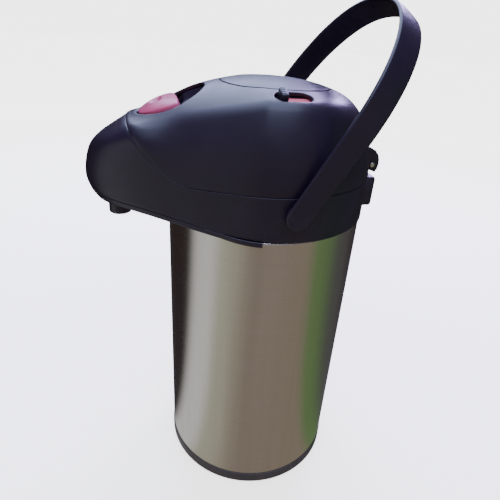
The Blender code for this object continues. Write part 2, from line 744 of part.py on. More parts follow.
def buildButton(dark, red, steel):
    place = dict(origin=padOrigin(), turn=(PAD_TILT, 0.0, 0.0))
    hx, hy = PAD_HALF_X, PAD_HALF_Y
    tray = [ovalRing(hx - 7.0, hy - 7.0, -17.0), ovalRing(hx + 0.6, hy + 0.0, -13.0),
            trayRim(hx + 1.0, hy + 0.4), trayRim(hx - 0.4, hy - 0.8),
            ovalRing(hx - 0.8, hy - 1.0, -12.4), ovalRing(hx - 8.0, hy - 8.0, -15.8)]
    points = [p for ring in tray for p in ring]
    faces = ringFaces(len(tray), 40, False)
    faces.append(tuple(reversed(range(40))))
    faces.append(tuple(range(5 * 40, 6 * 40)))
    addMesh("button_tray", points, faces, dark, **place)
    cut = 4.4
    pad = [padRing(hx, hy, cut, -8.4, 2.6), padRing(hx, hy, cut, -7.0, 1.0), padRing(hx, hy, cut, -4.6, 1.0),
           padRing(hx, hy, cut, -3.5, 2.4), padRing(hx, hy, cut, -3.0, 5.0)]
    button = ringStack("release_button", pad, red, **place)
    coil("button_spring", 3.2, 0.5, -15.0, -9.2, 4, steel, steps=9, sides=5,
         origin=padLocal(0.0, -6.0, 0.0), turn=(PAD_TILT, 0.0, 0.0))
    return button


def padLocal(x, y, z):
    """World position of a point given in the tilted frame of the release pad."""
    ox, oy, oz = padOrigin()
    c, s = math.cos(PAD_TILT), math.sin(PAD_TILT)
    return (ox + x, oy + y * c - z * s, oz + y * s + z * c)


def handleCentre(s):
    """Half width of the bail at distance s along its arms."""
    if s <= HANDLE_ARM:
        return HANDLE_LOW_HALF + (HANDLE_HIGH_HALF - HANDLE_LOW_HALF) * max(s, 0.0) / HANDLE_ARM
    return None


def buildHandle(dark):
    end = HANDLE_LOW_WIDTH / 2
    side = []
    for i in range(6):
        a = math.pi / 2 * (1 - i / 5) * 0.94
        side.append((HANDLE_LOW_HALF, -end * math.sin(a)))
    for s in (18.0, 36.0, HANDLE_ARM):
        side.append((handleCentre(s), s))
    power = 2.0 / HANDLE_BEND
    count = 14
    for i in range(1, count + 1):
        a = math.pi / 2 * i / count
        side.append((HANDLE_HIGH_HALF * max(math.cos(a), 0.0) ** power if i < count else 0.0,
                     HANDLE_ARM + (HANDLE_REACH - HANDLE_ARM) * math.sin(a) ** power))
    path = side + [(-x, s) for x, s in side[-2::-1]]
    rings = []
    half = HANDLE_THICK / 2
    for i, (x, s) in enumerate(path):
        ax, az = path[max(i - 1, 0)]
        bx, bz = path[min(i + 1, len(path) - 1)]
        along = Vector((bx - ax, 0.0, bz - az)).normalized()
        if s <= 0.0:
            along = Vector((0.0, 0.0, 1.0 if i < len(path) / 2 else -1.0))
            width = math.sqrt(max(end * end - s * s, 1.0))
        else:
            width = 0.5 * (HANDLE_LOW_WIDTH + (HANDLE_HIGH_WIDTH - HANDLE_LOW_WIDTH) * min(1.0, s / HANDLE_REACH))
        out = Vector((along.z, 0.0, -along.x))
        corner = min(1.3, width * 0.4)
        ring = []
        for o, f in ((1, 1), (-1, 1), (-1, -1), (1, -1)):
            turnPoints = ((half, width - corner), (half - corner * 0.3, width - corner * 0.3), (half - corner, width))
            if o * f < 0:
                turnPoints = turnPoints[::-1]
            for u, v in turnPoints:
                ring.append(tuple(Vector((x, 0.0, s)) + out * (o * u) + Vector((0.0, f * v, 0.0))))
        rings.append(ring)
    rings = [r[::-1] for r in rings]
    place = dict(origin=(0.0, 0.0, HANDLE_PIVOT_Z), turn=(-HANDLE_LEAN, 0.0, 0.0))
    handle = ringStack("handle", rings, dark, **place)
    bosses = []
    for sign in (1.0, -1.0):
        bosses.append(turned("boss", [(0.0, 83.6), (8.4, 83.6), (8.4, 86.6), (0.0, 86.6)], dark, steps=24,
                             origin=(0.0, 0.0, HANDLE_PIVOT_Z), turn=(-HANDLE_LEAN, 0.0, 0.0)))
        bosses[-1].rotation_euler = (0.0, sign * math.pi / 2, 0.0)
    combine(handle, bosses, "UNION")
    return handle


def buildPins(steel):
    for sign, label in ((1.0, "right"), (-1.0, "left")):
        turned("pivot_pin_" + label, [(0.0, 76.4), (7.6, 76.4), (7.6, 79.6), (5.0, 79.6), (5.0, 83.2), (0.0, 83.2)],
               steel, steps=24, origin=(0.0, 0.0, HANDLE_PIVOT_Z), turn=(0.0, sign * math.pi / 2, 0.0))


def buildLatch(dark):
    """Hook hanging from the release pad's tray and the catch standing on the collar deck."""
    box("latch_hook", (-7.0, -1.4, -26.6), (7.0, 1.4, 0.0), dark, origin=(0.0, -88.0, 329.5))
    box("latch_catch", (-9.0, -84.8, DECK_Z + 0.3), (9.0, -80.8, DECK_Z + 9.0), dark)


clearScene()
darkPlastic = material("dark_plastic", (0.030, 0.022, 0.050), rough=0.38)
basePlastic = material("base_plastic", (0.045, 0.038, 0.038), rough=0.5)
redPlastic = material("red_plastic", (0.75, 0.16, 0.22), rough=0.35)
brushedSteel = material("brushed_steel", (0.62, 0.58, 0.54), metallic=1.0, rough=0.33)
plainSteel = material("plain_steel", (0.66, 0.66, 0.66), metallic=1.0, rough=0.25)
springSteel = material("spring_steel", (0.45, 0.46, 0.48), metallic=1.0, rough=0.35)
silicone = material("silicone", (0.60, 0.58, 0.55), rough=0.6)
bellowsRubber = material("bellows_rubber", (0.12, 0.12, 0.13), rough=0.7)

buildFoot(basePlastic, silicone, plainSteel)
buildBase(basePlastic, plainSteel)
buildVessel(brushedSteel, plainSteel, silicone)
buildCollar(darkPlastic)
buildSpoutCover(darkPlastic)
buildSpout(darkPlastic, plainSteel)
buildHinge(darkPlastic, plainSteel)
buildLid(darkPlastic, plainSteel)
buildLidInside(darkPlastic, silicone, springSteel)
buildPushPlate(darkPlastic)
buildLock(darkPlastic, redPlastic)
buildButton(darkPlastic, redPlastic, springSteel)
buildLatch(darkPlastic)
buildHandle(darkPlastic)
buildPins(plainSteel)
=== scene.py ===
import json
import math

import bmesh
import bpy
from mathutils import Matrix, Vector


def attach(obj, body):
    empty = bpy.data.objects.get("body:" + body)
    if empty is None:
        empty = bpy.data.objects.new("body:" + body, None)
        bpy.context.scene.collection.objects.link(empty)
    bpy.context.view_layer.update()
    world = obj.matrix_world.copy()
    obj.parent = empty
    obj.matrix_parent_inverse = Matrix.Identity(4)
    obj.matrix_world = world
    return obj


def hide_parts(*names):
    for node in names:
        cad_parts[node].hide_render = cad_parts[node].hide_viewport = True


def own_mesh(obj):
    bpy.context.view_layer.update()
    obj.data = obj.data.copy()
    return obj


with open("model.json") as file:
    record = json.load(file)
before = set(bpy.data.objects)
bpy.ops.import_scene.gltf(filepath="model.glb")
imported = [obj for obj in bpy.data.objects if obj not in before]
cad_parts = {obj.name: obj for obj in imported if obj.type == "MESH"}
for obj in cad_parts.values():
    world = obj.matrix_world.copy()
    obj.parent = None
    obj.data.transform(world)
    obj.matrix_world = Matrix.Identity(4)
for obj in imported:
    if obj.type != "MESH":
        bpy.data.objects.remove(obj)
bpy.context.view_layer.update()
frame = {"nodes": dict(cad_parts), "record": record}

nodes = frame["nodes"]
mm = 0.001
weld = 0.002 * mm
full = 2 * math.pi
bodyOf = {node: body for body, members in frame["record"]["behaviour"]["bodies"].items() for node in members}
print("frame loaded:", len(nodes), "nodes")

cameraSet = {"place": (0.34275, -0.10153, 0.40313), "heading": 74.97, "dip": 27.54, "roll": 3.99, "lens": 31.21}
floorSet = {"radius": 9.0, "colour": (0.93, 0.92, 0.90), "glow": (2.1, 2.05, 1.9), "near": 0.30, "far": 1.8,
            "farGlow": (3.7, 3.7, 3.65)}
worldSet = {"seen": (3.9, 3.9, 3.9), "mirrored": (0.14, 0.10, 0.22), "soft": (0.46, 0.40, 0.52)}
lightSet = {
    "ceiling": {"size": (2.2, 1.0), "place": (0.10, -0.06, 1.38), "aim": (0.10, -0.06, 0.0), "watts": 37.0,
                "colour": (0.56, 0.67, 1.0)},
    "window": {"size": (0.85, 0.8), "place": (-1.03, 0.0, 0.86), "aim": (0.0, 0.0, 0.34), "watts": 13.0,
               "colour": (0.58, 0.67, 1.0)},
    "rearGlow": {"size": (0.42, 0.42), "place": (-0.76, 0.66, 0.96), "aim": (0.0, 0.03, 0.34), "watts": 17.0,
                 "colour": (0.58, 0.48, 1.0)},
}
# a made-up room for the polished faces to mirror: share of a turn from -X through -Y, and tone there
surroundSet = {
    "low": 0.0012, "inner": 0.0832, "outer": 1.1, "top": 0.75,
    "tones": {"dark": (0.04, 0.03, 0.03), "opening": (0.8, 0.8, 0.8), "wall": (0.5, 0.5, 0.4),
              "farWall": (0.3, 0.25, 0.2), "green": (0.15, 0.25, 0.1), "shade": (0.1, 0.1, 0.1)},
    "bands": (
        (0.0, "dark"), (0.2, "dark"), (0.26, "opening"), (0.3, "opening"), (0.35, "wall"), (0.45, "farWall"),
        (0.6, "farWall"), (0.65, "green"), (0.75, "shade"), (0.85, "dark"), (1.0, "dark"),
    ),
}


def link(obj):
    bpy.context.scene.collection.objects.link(obj)
    return obj


def cameraTurn(s):
    heading, dip, roll = (math.radians(s[word]) for word in ("heading", "dip", "roll"))
    ahead = Vector((-math.sin(heading) * math.cos(dip), math.cos(heading) * math.cos(dip), -math.sin(dip)))
    side = Vector((math.cos(heading), math.sin(heading), 0.0))
    up = side.cross(ahead)
    right = math.cos(roll) * side + math.sin(roll) * up
    top = -math.sin(roll) * side + math.cos(roll) * up
    return Matrix((right, top, -ahead)).transposed()


def makeCamera(s):
    data = bpy.data.cameras.new("cameraMain")
    data.sensor_width = 36.0
    data.lens = s["lens"]
    data.clip_start = 0.01
    data.clip_end = 50.0
    cam = link(bpy.data.objects.new("cameraMain", data))
    cam.matrix_world = Matrix.Translation(s["place"]) @ cameraTurn(s).to_4x4()
    bpy.context.scene.camera = cam


def makeLights(lights):
    for name, s in lights.items():
        data = bpy.data.lights.new(name, "AREA")
        data.shape = "RECTANGLE"
        data.size, data.size_y = s["size"]
        data.energy = s["watts"]
        data.color = s["colour"]
        lamp = link(bpy.data.objects.new(name, data))
        lamp.visible_camera = False
        aim = Vector(s["aim"]) - Vector(s["place"])
        lamp.matrix_world = Matrix.Translation(s["place"]) @ aim.to_track_quat("-Z", "Y").to_matrix().to_4x4()


def makeWorld(s):
    world = bpy.data.worlds.new("studio")
    bpy.context.scene.world = world
    world.use_nodes = True
    tree = world.node_tree
    path = tree.nodes.new("ShaderNodeLightPath")
    result = tree.nodes["Background"]
    result.inputs["Color"].default_value = (*s["soft"], 1.0)
    for key, ray in (("mirrored", "Is Glossy Ray"), ("seen", "Is Camera Ray")):
        tone = tree.nodes.new("ShaderNodeBackground")
        tone.inputs["Color"].default_value = (*s[key], 1.0)
        mix = tree.nodes.new("ShaderNodeMixShader")
        tree.links.new(path.outputs[ray], mix.inputs[0])
        tree.links.new(result.outputs[0], mix.inputs[1])
        tree.links.new(tone.outputs[0], mix.inputs[2])
        result = mix
    tree.links.new(result.outputs[0], tree.nodes["World Output"].inputs["Surface"])


def makeFloor(s):
    bm = bmesh.new()
    bmesh.ops.create_circle(bm, cap_ends=True, radius=s["radius"], segments=96)
    mesh = bpy.data.meshes.new("floor")
    bm.to_mesh(mesh)
    bm.free()
    mat = bpy.data.materials.new("paleFloor")
    mat.use_nodes = True
    shader = mat.node_tree.nodes["Principled BSDF"]
    shader.inputs["Base Color"].default_value = (*s["colour"], 1.0)
    shader.inputs["Roughness"].default_value = 0.9
    shader.inputs["Specular IOR Level"].default_value = 0.1
    # the floor grows paler with distance, so that it meets the background without a line
    tree = mat.node_tree
    place = tree.nodes.new("ShaderNodeTexCoord")
    reach = tree.nodes.new("ShaderNodeVectorMath")
    reach.operation = "LENGTH"
    away = tree.nodes.new("ShaderNodeMapRange")
    away.inputs["From Min"].default_value = s["near"]
    away.inputs["From Max"].default_value = s["far"]
    tone = tree.nodes.new("ShaderNodeMix")
    tone.data_type = "RGBA"
    tone.inputs[6].default_value = (*s["glow"], 1.0)
    tone.inputs[7].default_value = (*s["farGlow"], 1.0)
    path = tree.nodes.new("ShaderNodeLightPath")
    tree.links.new(place.outputs["Object"], reach.inputs[0])
    tree.links.new(reach.outputs["Value"], away.inputs["Value"])
    tree.links.new(away.outputs["Result"], tone.inputs["Factor"])
    tree.links.new(tone.outputs[2], shader.inputs["Emission Color"])
    tree.links.new(path.outputs["Is Camera Ray"], shader.inputs["Emission Strength"])
    mesh.materials.append(mat)
    link(bpy.data.objects.new("floor", mesh))


def makeSurround(s):
    # an open drum that only reflections can see, so the steel has a room to mirror
    bm = bmesh.new()
    points = [(s["inner"], s["low"]), (s["outer"], s["low"]), (s["outer"], s["top"])]
    verts = [bm.verts.new((r, 0.0, z)) for r, z in points]
    edges = [bm.edges.new(pair) for pair in zip(verts, verts[1:])]
    bmesh.ops.spin(bm, geom=verts + edges, axis=(0, 0, 1), cent=(0, 0, 0), steps=64, angle=full, use_merge=True)
    mesh = bpy.data.meshes.new("surround")
    bm.to_mesh(mesh)
    bm.free()
    mat = bpy.data.materials.new("roomTones")
    mat.use_nodes = True
    tree = mat.node_tree
    tree.nodes.remove(tree.nodes["Principled BSDF"])
    place = tree.nodes.new("ShaderNodeTexCoord")
    turn = tree.nodes.new("ShaderNodeTexGradient")
    turn.gradient_type = "RADIAL"
    ramp = tree.nodes.new("ShaderNodeValToRGB")
    ramp.color_ramp.interpolation = "EASE"
    stops = ramp.color_ramp.elements
    for stop in (stops[0], stops[1]):
        stop.color = (*s["tones"][s["bands"][0][1]], 1.0)
    for share, tone in s["bands"][1:-1]:
        stops.new(share).color = (*s["tones"][tone], 1.0)
    glow = tree.nodes.new("ShaderNodeEmission")
    tree.links.new(place.outputs["Object"], turn.inputs["Vector"])
    tree.links.new(turn.outputs["Fac"], ramp.inputs["Fac"])
    tree.links.new(ramp.outputs["Color"], glow.inputs["Color"])
    tree.links.new(glow.outputs[0], tree.nodes["Material Output"].inputs["Surface"])
    mesh.materials.append(mat)
    drum = link(bpy.data.objects.new("surround", mesh))
    drum.visible_camera = False
    drum.visible_diffuse = False
    drum.visible_shadow = False
    drum.visible_transmission = False


makeCamera(cameraSet)
makeWorld(worldSet)
makeFloor(floorSet)
makeSurround(surroundSet)
makeLights(lightSet)
print("camera, floor and lights ready")


# effects shared by the materials

def newGroup(name, inputs, outputs):
    group = bpy.data.node_groups.new(name, "ShaderNodeTree")
    for word, value in inputs.items():
        socket = group.interface.new_socket(word, in_out="INPUT", socket_type="NodeSocketFloat")
        socket.default_value = value
    for word in outputs:
        group.interface.new_socket(word, in_out="OUTPUT", socket_type="NodeSocketFloat")
    return group, group.nodes.new("NodeGroupInput"), group.nodes.new("NodeGroupOutput")


def noiseIn(tree, vector, scale, detail=2.0, rough=0.5):
    noise = tree.nodes.new("ShaderNodeTexNoise")
    noise.inputs["Detail"].default_value = detail
    noise.inputs["Roughness"].default_value = rough
    tree.links.new(vector, noise.inputs["Vector"])
    if isinstance(scale, (int, float)):
        noise.inputs["Scale"].default_value = scale
    else:
        tree.links.new(scale, noise.inputs["Scale"])
    return noise.outputs["Fac"]


def spread(tree, value, low, high, toLow=0.0, toHigh=1.0):
    node = tree.nodes.new("ShaderNodeMapRange")
    tree.links.new(value, node.inputs["Value"])
    for word, number in (("From Min", low), ("From Max", high), ("To Min", toLow), ("To Max", toHigh)):
        node.inputs[word].default_value = number
    return node.outputs["Result"]


def worked(tree, operation, first, second):
    node = tree.nodes.new("ShaderNodeMath")
    node.operation = operation
    for socket, value in zip(node.inputs, (first, second)):
        if isinstance(value, (int, float)):
            socket.default_value = value
        else:
            tree.links.new(value, socket)
    return node.outputs["Value"]


def stretched(tree, scale):
    place = tree.nodes.new("ShaderNodeTexCoord")
    mapping = tree.nodes.new("ShaderNodeMapping")
    mapping.inputs["Scale"].default_value = scale
    tree.links.new(place.outputs["Object"], mapping.inputs["Vector"])
    return mapping.outputs["Vector"]


def grainGroup():
    # fine moulded texture and slow clouding of a plastic or rubber surface
    group, inside, out = newGroup("mouldedGrain", {"Fineness": 2600.0}, ("Height", "Cloud"))
    place = stretched(group, (1.0, 1.0, 1.0))
    fine = noiseIn(group, place, inside.outputs["Fineness"], 2.0, 0.6)
    broad = noiseIn(group, place, 320.0, 2.0)
    group.links.new(worked(group, "ADD", fine, worked(group, "MULTIPLY", broad, 0.35)), out.inputs["Height"])
    group.links.new(spread(group, noiseIn(group, place, 24.0, 4.0), 0.3, 0.7), out.inputs["Cloud"])
    return group


def dustGroup():
    # faint dust that lies where a face looks up, broken by smudges
    group, inside, out = newGroup("settledDust", {"Amount": 0.4}, ("Mask", "Smudge"))
    place = stretched(group, (1.0, 1.0, 1.0))
    shape = group.nodes.new("ShaderNodeNewGeometry")
    parts = group.nodes.new("ShaderNodeSeparateXYZ")
    group.links.new(shape.outputs["Normal"], parts.inputs["Vector"])
    up = spread(group, parts.outputs["Z"], 0.35, 1.0)
    specks = spread(group, noiseIn(group, place, 900.0, 3.0, 0.7), 0.52, 0.78)
    veil = spread(group, noiseIn(group, place, 38.0, 3.0), 0.35, 0.75)
    both = worked(group, "ADD", worked(group, "MULTIPLY", specks, 0.6), worked(group, "MULTIPLY", veil, 0.4))
    mask = worked(group, "MULTIPLY", worked(group, "MULTIPLY", both, up), inside.outputs["Amount"])
    group.links.new(mask, out.inputs["Mask"])
    group.links.new(spread(group, noiseIn(group, place, 55.0, 5.0, 0.6), 0.42, 0.7), out.inputs["Smudge"])
    return group


def edgeWearAndHighlightGroup():
    # lighter convex edges: partly wear, partly a painted highlight where the edges catch the light
    group, inside, out = newGroup("wornAndHighlightedEdge", {"Start": 0.53, "End": 0.62}, ("Mask",))
    shape = group.nodes.new("ShaderNodeNewGeometry")
    node = group.nodes.new("ShaderNodeMapRange")
    group.links.new(shape.outputs["Pointiness"], node.inputs["Value"])
    group.links.new(inside.outputs["Start"], node.inputs["From Min"])
    group.links.new(inside.outputs["End"], node.inputs["From Max"])
    breakUp = spread(group, noiseIn(group, stretched(group, (1.0, 1.0, 1.0)), 420.0, 3.0), 0.3, 0.7, 0.3, 1.0)
    group.links.new(worked(group, "MULTIPLY", node.outputs["Result"], breakUp), out.inputs["Mask"])
    return group


def brushGroup():
    # hairlines that run level round the body, with slow streaks and a few scuffs
    group, inside, out = newGroup("brushLines", {"Spread": 1.0}, ("Line", "Streak", "Scuff"))
    fine = noiseIn(group, stretched(group, (5.0, 5.0, 3800.0)), 1.0, 3.0, 0.65)
    mid = noiseIn(group, stretched(group, (9.0, 9.0, 760.0)), 1.0, 3.0, 0.6)
    line = worked(group, "ADD", worked(group, "MULTIPLY", fine, 0.65), worked(group, "MULTIPLY", mid, 0.35))
    group.links.new(worked(group, "MULTIPLY", line, inside.outputs["Spread"]), out.inputs["Line"])
    group.links.new(noiseIn(group, stretched(group, (70.0, 70.0, 3.0)), 1.0, 3.0, 0.6), out.inputs["Streak"])
    scuff = noiseIn(group, stretched(group, (40.0, 40.0, 160.0)), 1.0, 5.0, 0.7)
    group.links.new(spread(group, scuff, 0.66, 0.78), out.inputs["Scuff"])
    return group


groups = {"grain": grainGroup(), "dust": dustGroup(), "rub": edgeWearAndHighlightGroup(), "brush": brushGroup()}


def placeGroup(tree, key, **values):
    node = tree.nodes.new("ShaderNodeGroup")
    node.node_tree = groups[key]
    for word, value in values.items():
        node.inputs[word].default_value = value
    return node


def mixed(tree, mask, first, second):
    # colour or number between two, by a mask
    node = tree.nodes.new("ShaderNodeMix")
    node.data_type = "RGBA"
    tree.links.new(mask, node.inputs["Factor"])
    for socket, value in ((node.inputs[6], first), (node.inputs[7], second)):
        if isinstance(value, tuple):
            socket.default_value = (*value, 1.0)
        else:
            tree.links.new(value, socket)
    return node.outputs[2]


def bumped(tree, height, strength, distance):
    bump = tree.nodes.new("ShaderNodeBump")
    bump.inputs["Strength"].default_value = strength
    bump.inputs["Distance"].default_value = distance
    tree.links.new(height, bump.inputs["Height"])
    return bump.outputs["Normal"]


def startMaterial(name, rough=0.5, metallic=0.0, specular=0.5, ior=1.5):
    mat = bpy.data.materials.new(name)
    mat.use_nodes = True
    tree = mat.node_tree
    shader = tree.nodes["Principled BSDF"]
    shader.inputs["Roughness"].default_value = rough
    shader.inputs["Metallic"].default_value = metallic
    shader.inputs["Specular IOR Level"].default_value = specular
    shader.inputs["IOR"].default_value = ior
    return mat, tree, shader


def plastic(name, s):
    mat, tree, shader = startMaterial(name, s["rough"], 0.0, s["specular"])
    grain = placeGroup(tree, "grain", Fineness=s["fineness"])
    dust = placeGroup(tree, "dust", Amount=s["dust"])
    rub = placeGroup(tree, "rub")
    body = mixed(tree, grain.outputs["Cloud"], s["colour"], s["cloud"])
    # the edge colour lightens convex edges: partly wear, partly a painted highlight
    wornAndHighlighted = mixed(tree, rub.outputs["Mask"], body, s["edge"])
    tree.links.new(mixed(tree, dust.outputs["Mask"], wornAndHighlighted, s["dustColour"]), shader.inputs["Base Color"])
    rough = spread(tree, dust.outputs["Smudge"], 0.0, 1.0, s["rough"] - s["vary"], s["rough"] + s["vary"])
    tree.links.new(rough, shader.inputs["Roughness"])
    tree.links.new(bumped(tree, grain.outputs["Height"], s["bump"], 0.0002), shader.inputs["Normal"])
    return mat


def steel(name, s):
    mat, tree, shader = startMaterial(name, s["rough"], 1.0)
    brush = placeGroup(tree, "brush", Spread=1.0)
    dust = placeGroup(tree, "dust", Amount=0.25)
    toned = mixed(tree, spread(tree, brush.outputs["Line"], 0.25, 0.75), s["low"], s["high"])
    streaked = mixed(tree, spread(tree, brush.outputs["Streak"], 0.35, 0.75, 0.0, 0.45), toned, s["streak"])
    marked = mixed(tree, worked(tree, "MULTIPLY", brush.outputs["Scuff"], s["scuff"]), streaked, s["mark"])
    tree.links.new(marked, shader.inputs["Base Color"])
    smudge = worked(tree, "MULTIPLY", dust.outputs["Smudge"], s["vary"])
    line = spread(tree, brush.outputs["Line"], 0.3, 0.7, s["rough"] - s["vary"], s["rough"] + s["vary"])
    tree.links.new(worked(tree, "ADD", line, smudge), shader.inputs["Roughness"])
    tree.links.new(bumped(tree, brush.outputs["Line"], s["bump"], 0.0001), shader.inputs["Normal"])
    if s["drawn"] > 0.0:
        # hairlines run round the body, so its shine is drawn out up and down
        around = tree.nodes.new("ShaderNodeTangent")
        around.direction_type = "RADIAL"
        around.axis = "Z"
        tree.links.new(around.outputs["Tangent"], shader.inputs["Tangent"])
        shader.inputs["Anisotropic"].default_value = s["drawn"]
        shader.inputs["Anisotropic Rotation"].default_value = 0.25
    return mat


# edge: the lighter tone on convex edges, partly wear and partly a painted highlight
plasticSet = {
    "headPlastic": {"colour": (0.0085, 0.004, 0.013), "cloud": (0.0105, 0.0055, 0.016), "edge": (0.03, 0.022, 0.046),
                    "dustColour": (0.20, 0.19, 0.24), "dust": 0.07, "rough": 0.37, "vary": 0.03,
                    "specular": 0.48, "fineness": 2600.0, "bump": 0.10},
    "basePlastic": {"colour": (0.044, 0.038, 0.033), "cloud": (0.054, 0.047, 0.041), "edge": (0.080, 0.072, 0.066),
                    "dustColour": (0.20, 0.19, 0.17), "dust": 0.25, "rough": 0.55, "vary": 0.05,
                    "specular": 0.35, "fineness": 1900.0, "bump": 0.16},
    "redPlastic": {"colour": (0.42, 0.055, 0.125), "cloud": (0.48, 0.075, 0.155), "edge": (0.64, 0.21, 0.33),
                   "dustColour": (0.72, 0.52, 0.58), "dust": 0.10, "rough": 0.36, "vary": 0.05,
                   "specular": 0.27, "fineness": 2200.0, "bump": 0.07},
    "markerPlastic": {"colour": (0.62, 0.12, 0.16), "cloud": (0.68, 0.15, 0.19), "edge": (0.74, 0.24, 0.28),
                      "dustColour": (0.60, 0.45, 0.46), "dust": 0.12, "rough": 0.45, "vary": 0.05,
                      "specular": 0.4, "fineness": 2200.0, "bump": 0.07},
    "darkRubber": {"colour": (0.030, 0.030, 0.032), "cloud": (0.040, 0.040, 0.043), "edge": (0.075, 0.075, 0.08),
                   "dustColour": (0.22, 0.22, 0.22), "dust": 0.22, "rough": 0.68, "vary": 0.06,
                   "specular": 0.3, "fineness": 1500.0, "bump": 0.22},
    "silicone": {"colour": (0.56, 0.54, 0.51), "cloud": (0.61, 0.59, 0.56), "edge": (0.70, 0.68, 0.65),
                 "dustColour": (0.42, 0.40, 0.37), "dust": 0.12, "rough": 0.58, "vary": 0.05,
                 "specular": 0.4, "fineness": 1300.0, "bump": 0.14},
}
steelSet = {
    "brushedSteel": {"low": (0.60, 0.575, 0.535), "high": (0.66, 0.635, 0.595), "streak": (0.49, 0.465, 0.43),
                     "mark": (0.40, 0.38, 0.36), "scuff": 0.08, "rough": 0.24, "vary": 0.03, "bump": 0.05,
                     "drawn": 0.80},
    "plainSteel": {"low": (0.60, 0.60, 0.60), "high": (0.68, 0.68, 0.68), "streak": (0.55, 0.55, 0.55),
                   "mark": (0.42, 0.42, 0.42), "scuff": 0.25, "rough": 0.24, "vary": 0.04, "bump": 0.04,
                   "drawn": 0.0},
    "springSteel": {"low": (0.40, 0.41, 0.43), "high": (0.48, 0.49, 0.51), "streak": (0.36, 0.37, 0.39),
                    "mark": (0.26, 0.26, 0.27), "scuff": 0.35, "rough": 0.34, "vary": 0.05, "bump": 0.05,
                    "drawn": 0.0},
}
materials = {name: plastic(name, s) for name, s in plasticSet.items()}
materials.update({name: steel(name, s) for name, s in steelSet.items()})
print("materials ready:", len(materials))


# shaping helpers, lengths in millimetres

def bare(name, bm, angle=35.0):
    mesh = bpy.data.meshes.new(name)
    bm.to_mesh(mesh)
    bm.free()
    for face in mesh.polygons:
        face.use_smooth = True
    mesh.set_sharp_from_angle(angle=math.radians(angle))
    return link(bpy.data.objects.new(name, mesh))


def settle(obj, finish, body, *stoodFor, angle=35.0):
    # material, body and the nodes that the piece stands for
    for face in obj.data.polygons:
        face.use_smooth = True
    obj.data.set_sharp_from_angle(angle=math.radians(angle))
    obj.data.materials.clear()
    obj.data.materials.append(materials[finish])
    if stoodFor:
        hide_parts(*stoodFor)
    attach(obj, body)
    return obj


def shaped(columns, rows, spot, caps=False):
    # a grid rolled and folded into a surface: spot gives the place of each column and row
    bm = bmesh.new()
    bmesh.ops.create_grid(bm, x_segments=columns, y_segments=rows, size=1.0)
    for vert in bm.verts:
        column = round((vert.co.x + 1.0) / 2.0 * columns)
        row = round((vert.co.y + 1.0) / 2.0 * rows)
        vert.co = Vector(spot(column, row)) * mm
    bmesh.ops.remove_doubles(bm, verts=bm.verts[:], dist=weld)
    if caps:
        bmesh.ops.holes_fill(bm, edges=[e for e in bm.edges if e.is_boundary], sides=0)
    bmesh.ops.recalc_face_normals(bm, faces=bm.faces[:])
    return bm


def rolled(sectionAt, columns, centre=(0.0, 0.0), low=0.0, high=full, caps=False):
    # a surface round an upright axis whose section changes with the angle
    angles = [low + (high - low) * i / columns for i in range(columns + 1)]
    sections = [sectionAt(angle) for angle in angles]

    def spot(column, row):
        radius, z = sections[column][row]
        cx, cy = direction(angles[column])
        return centre[0] + radius * cx, centre[1] + radius * cy, z

    return shaped(columns, len(sections[0]) - 1, spot, caps)


def lathe(profile, steps=96, place=Matrix.Identity(4), loop=False):
    bm = bmesh.new()
    verts = [bm.verts.new((radius * mm, 0.0, z * mm)) for radius, z in profile]
    edges = [bm.edges.new(pair) for pair in zip(verts, verts[1:])]
    if loop:
        edges.append(bm.edges.new((verts[-1], verts[0])))
    bmesh.ops.spin(bm, geom=verts + edges, axis=(0, 0, 1), cent=(0, 0, 0), steps=steps, angle=full,
                   use_merge=True)
    bmesh.ops.remove_doubles(bm, verts=bm.verts[:], dist=weld)
    bmesh.ops.recalc_face_normals(bm, faces=bm.faces[:])
    bmesh.ops.transform(bm, matrix=place, verts=bm.verts[:])
    return bm


def soften(points, radius, loop=False, parts=3):
    # every corner of a profile becomes a short curve
    out = []
    count = len(points)
    for i, point in enumerate(points):
        if not loop and i in (0, count - 1):
            out.append(point)
            continue
        before, here, after = Vector(points[i - 1]), Vector(point), Vector(points[(i + 1) % count])
        cut = min(radius, 0.45 * (before - here).length, 0.45 * (after - here).length)
        start = here + (before - here).normalized() * cut
        end = here + (after - here).normalized() * cut
        for k in range(parts + 1):
            t = k / parts
            out.append(tuple((1 - t) ** 2 * start + 2 * t * (1 - t) * here + t * t * end))
    return out


def moved(x, y, z, turn=None):
    place = Matrix.Translation((x * mm, y * mm, z * mm))
    return place if turn is None else place @ turn


def roundEdges(bm, edges, width, segments):
    bmesh.ops.bevel(bm, geom=edges, offset=width * mm, offset_type="OFFSET", affect="EDGES", segments=segments,
                    profile=0.5, material=-1, clamp_overlap=True)


def block(outline, low, high, width=0.8, segments=3):
    # an outline in the YZ plane drawn out along X, with its edges rounded
    bm = bmesh.new()
    face = bm.faces.new([bm.verts.new((low * mm, y * mm, z * mm)) for y, z in outline])
    grown = bmesh.ops.extrude_face_region(bm, geom=[face])
    side = [v for v in grown["geom"] if isinstance(v, bmesh.types.BMVert)]
    bmesh.ops.translate(bm, vec=((high - low) * mm, 0.0, 0.0), verts=side)
    bmesh.ops.recalc_face_normals(bm, faces=bm.faces[:])
    if width > 0.0:
        roundEdges(bm, [e for e in bm.edges if e.calc_face_angle(0.0) > math.radians(30.0)], width, segments)
    return bm


def turned(name, profile, finish, node, rounding, steps=96, place=Matrix.Identity(4), loop=False):
    # a softened profile spun into a finished piece
    piece = bare(name, lathe(soften(profile, rounding, loop), steps, place, loop))
    return settle(piece, finish, bodyOf[node], node)


def drop(obj):
    bpy.data.objects.remove(obj, do_unlink=True)


def joined(obj, tools, operation="DIFFERENCE"):
    for tool in tools:
        mod = obj.modifiers.new("join", "BOOLEAN")
        mod.operation = operation
        mod.solver = "EXACT"
        mod.object = tool
        bpy.context.view_layer.update()
        graph = bpy.context.evaluated_depsgraph_get()
        mesh = bpy.data.meshes.new_from_object(obj.evaluated_get(graph))
        obj.modifiers.remove(mod)
        obj.data = mesh
        drop(tool)
    return obj


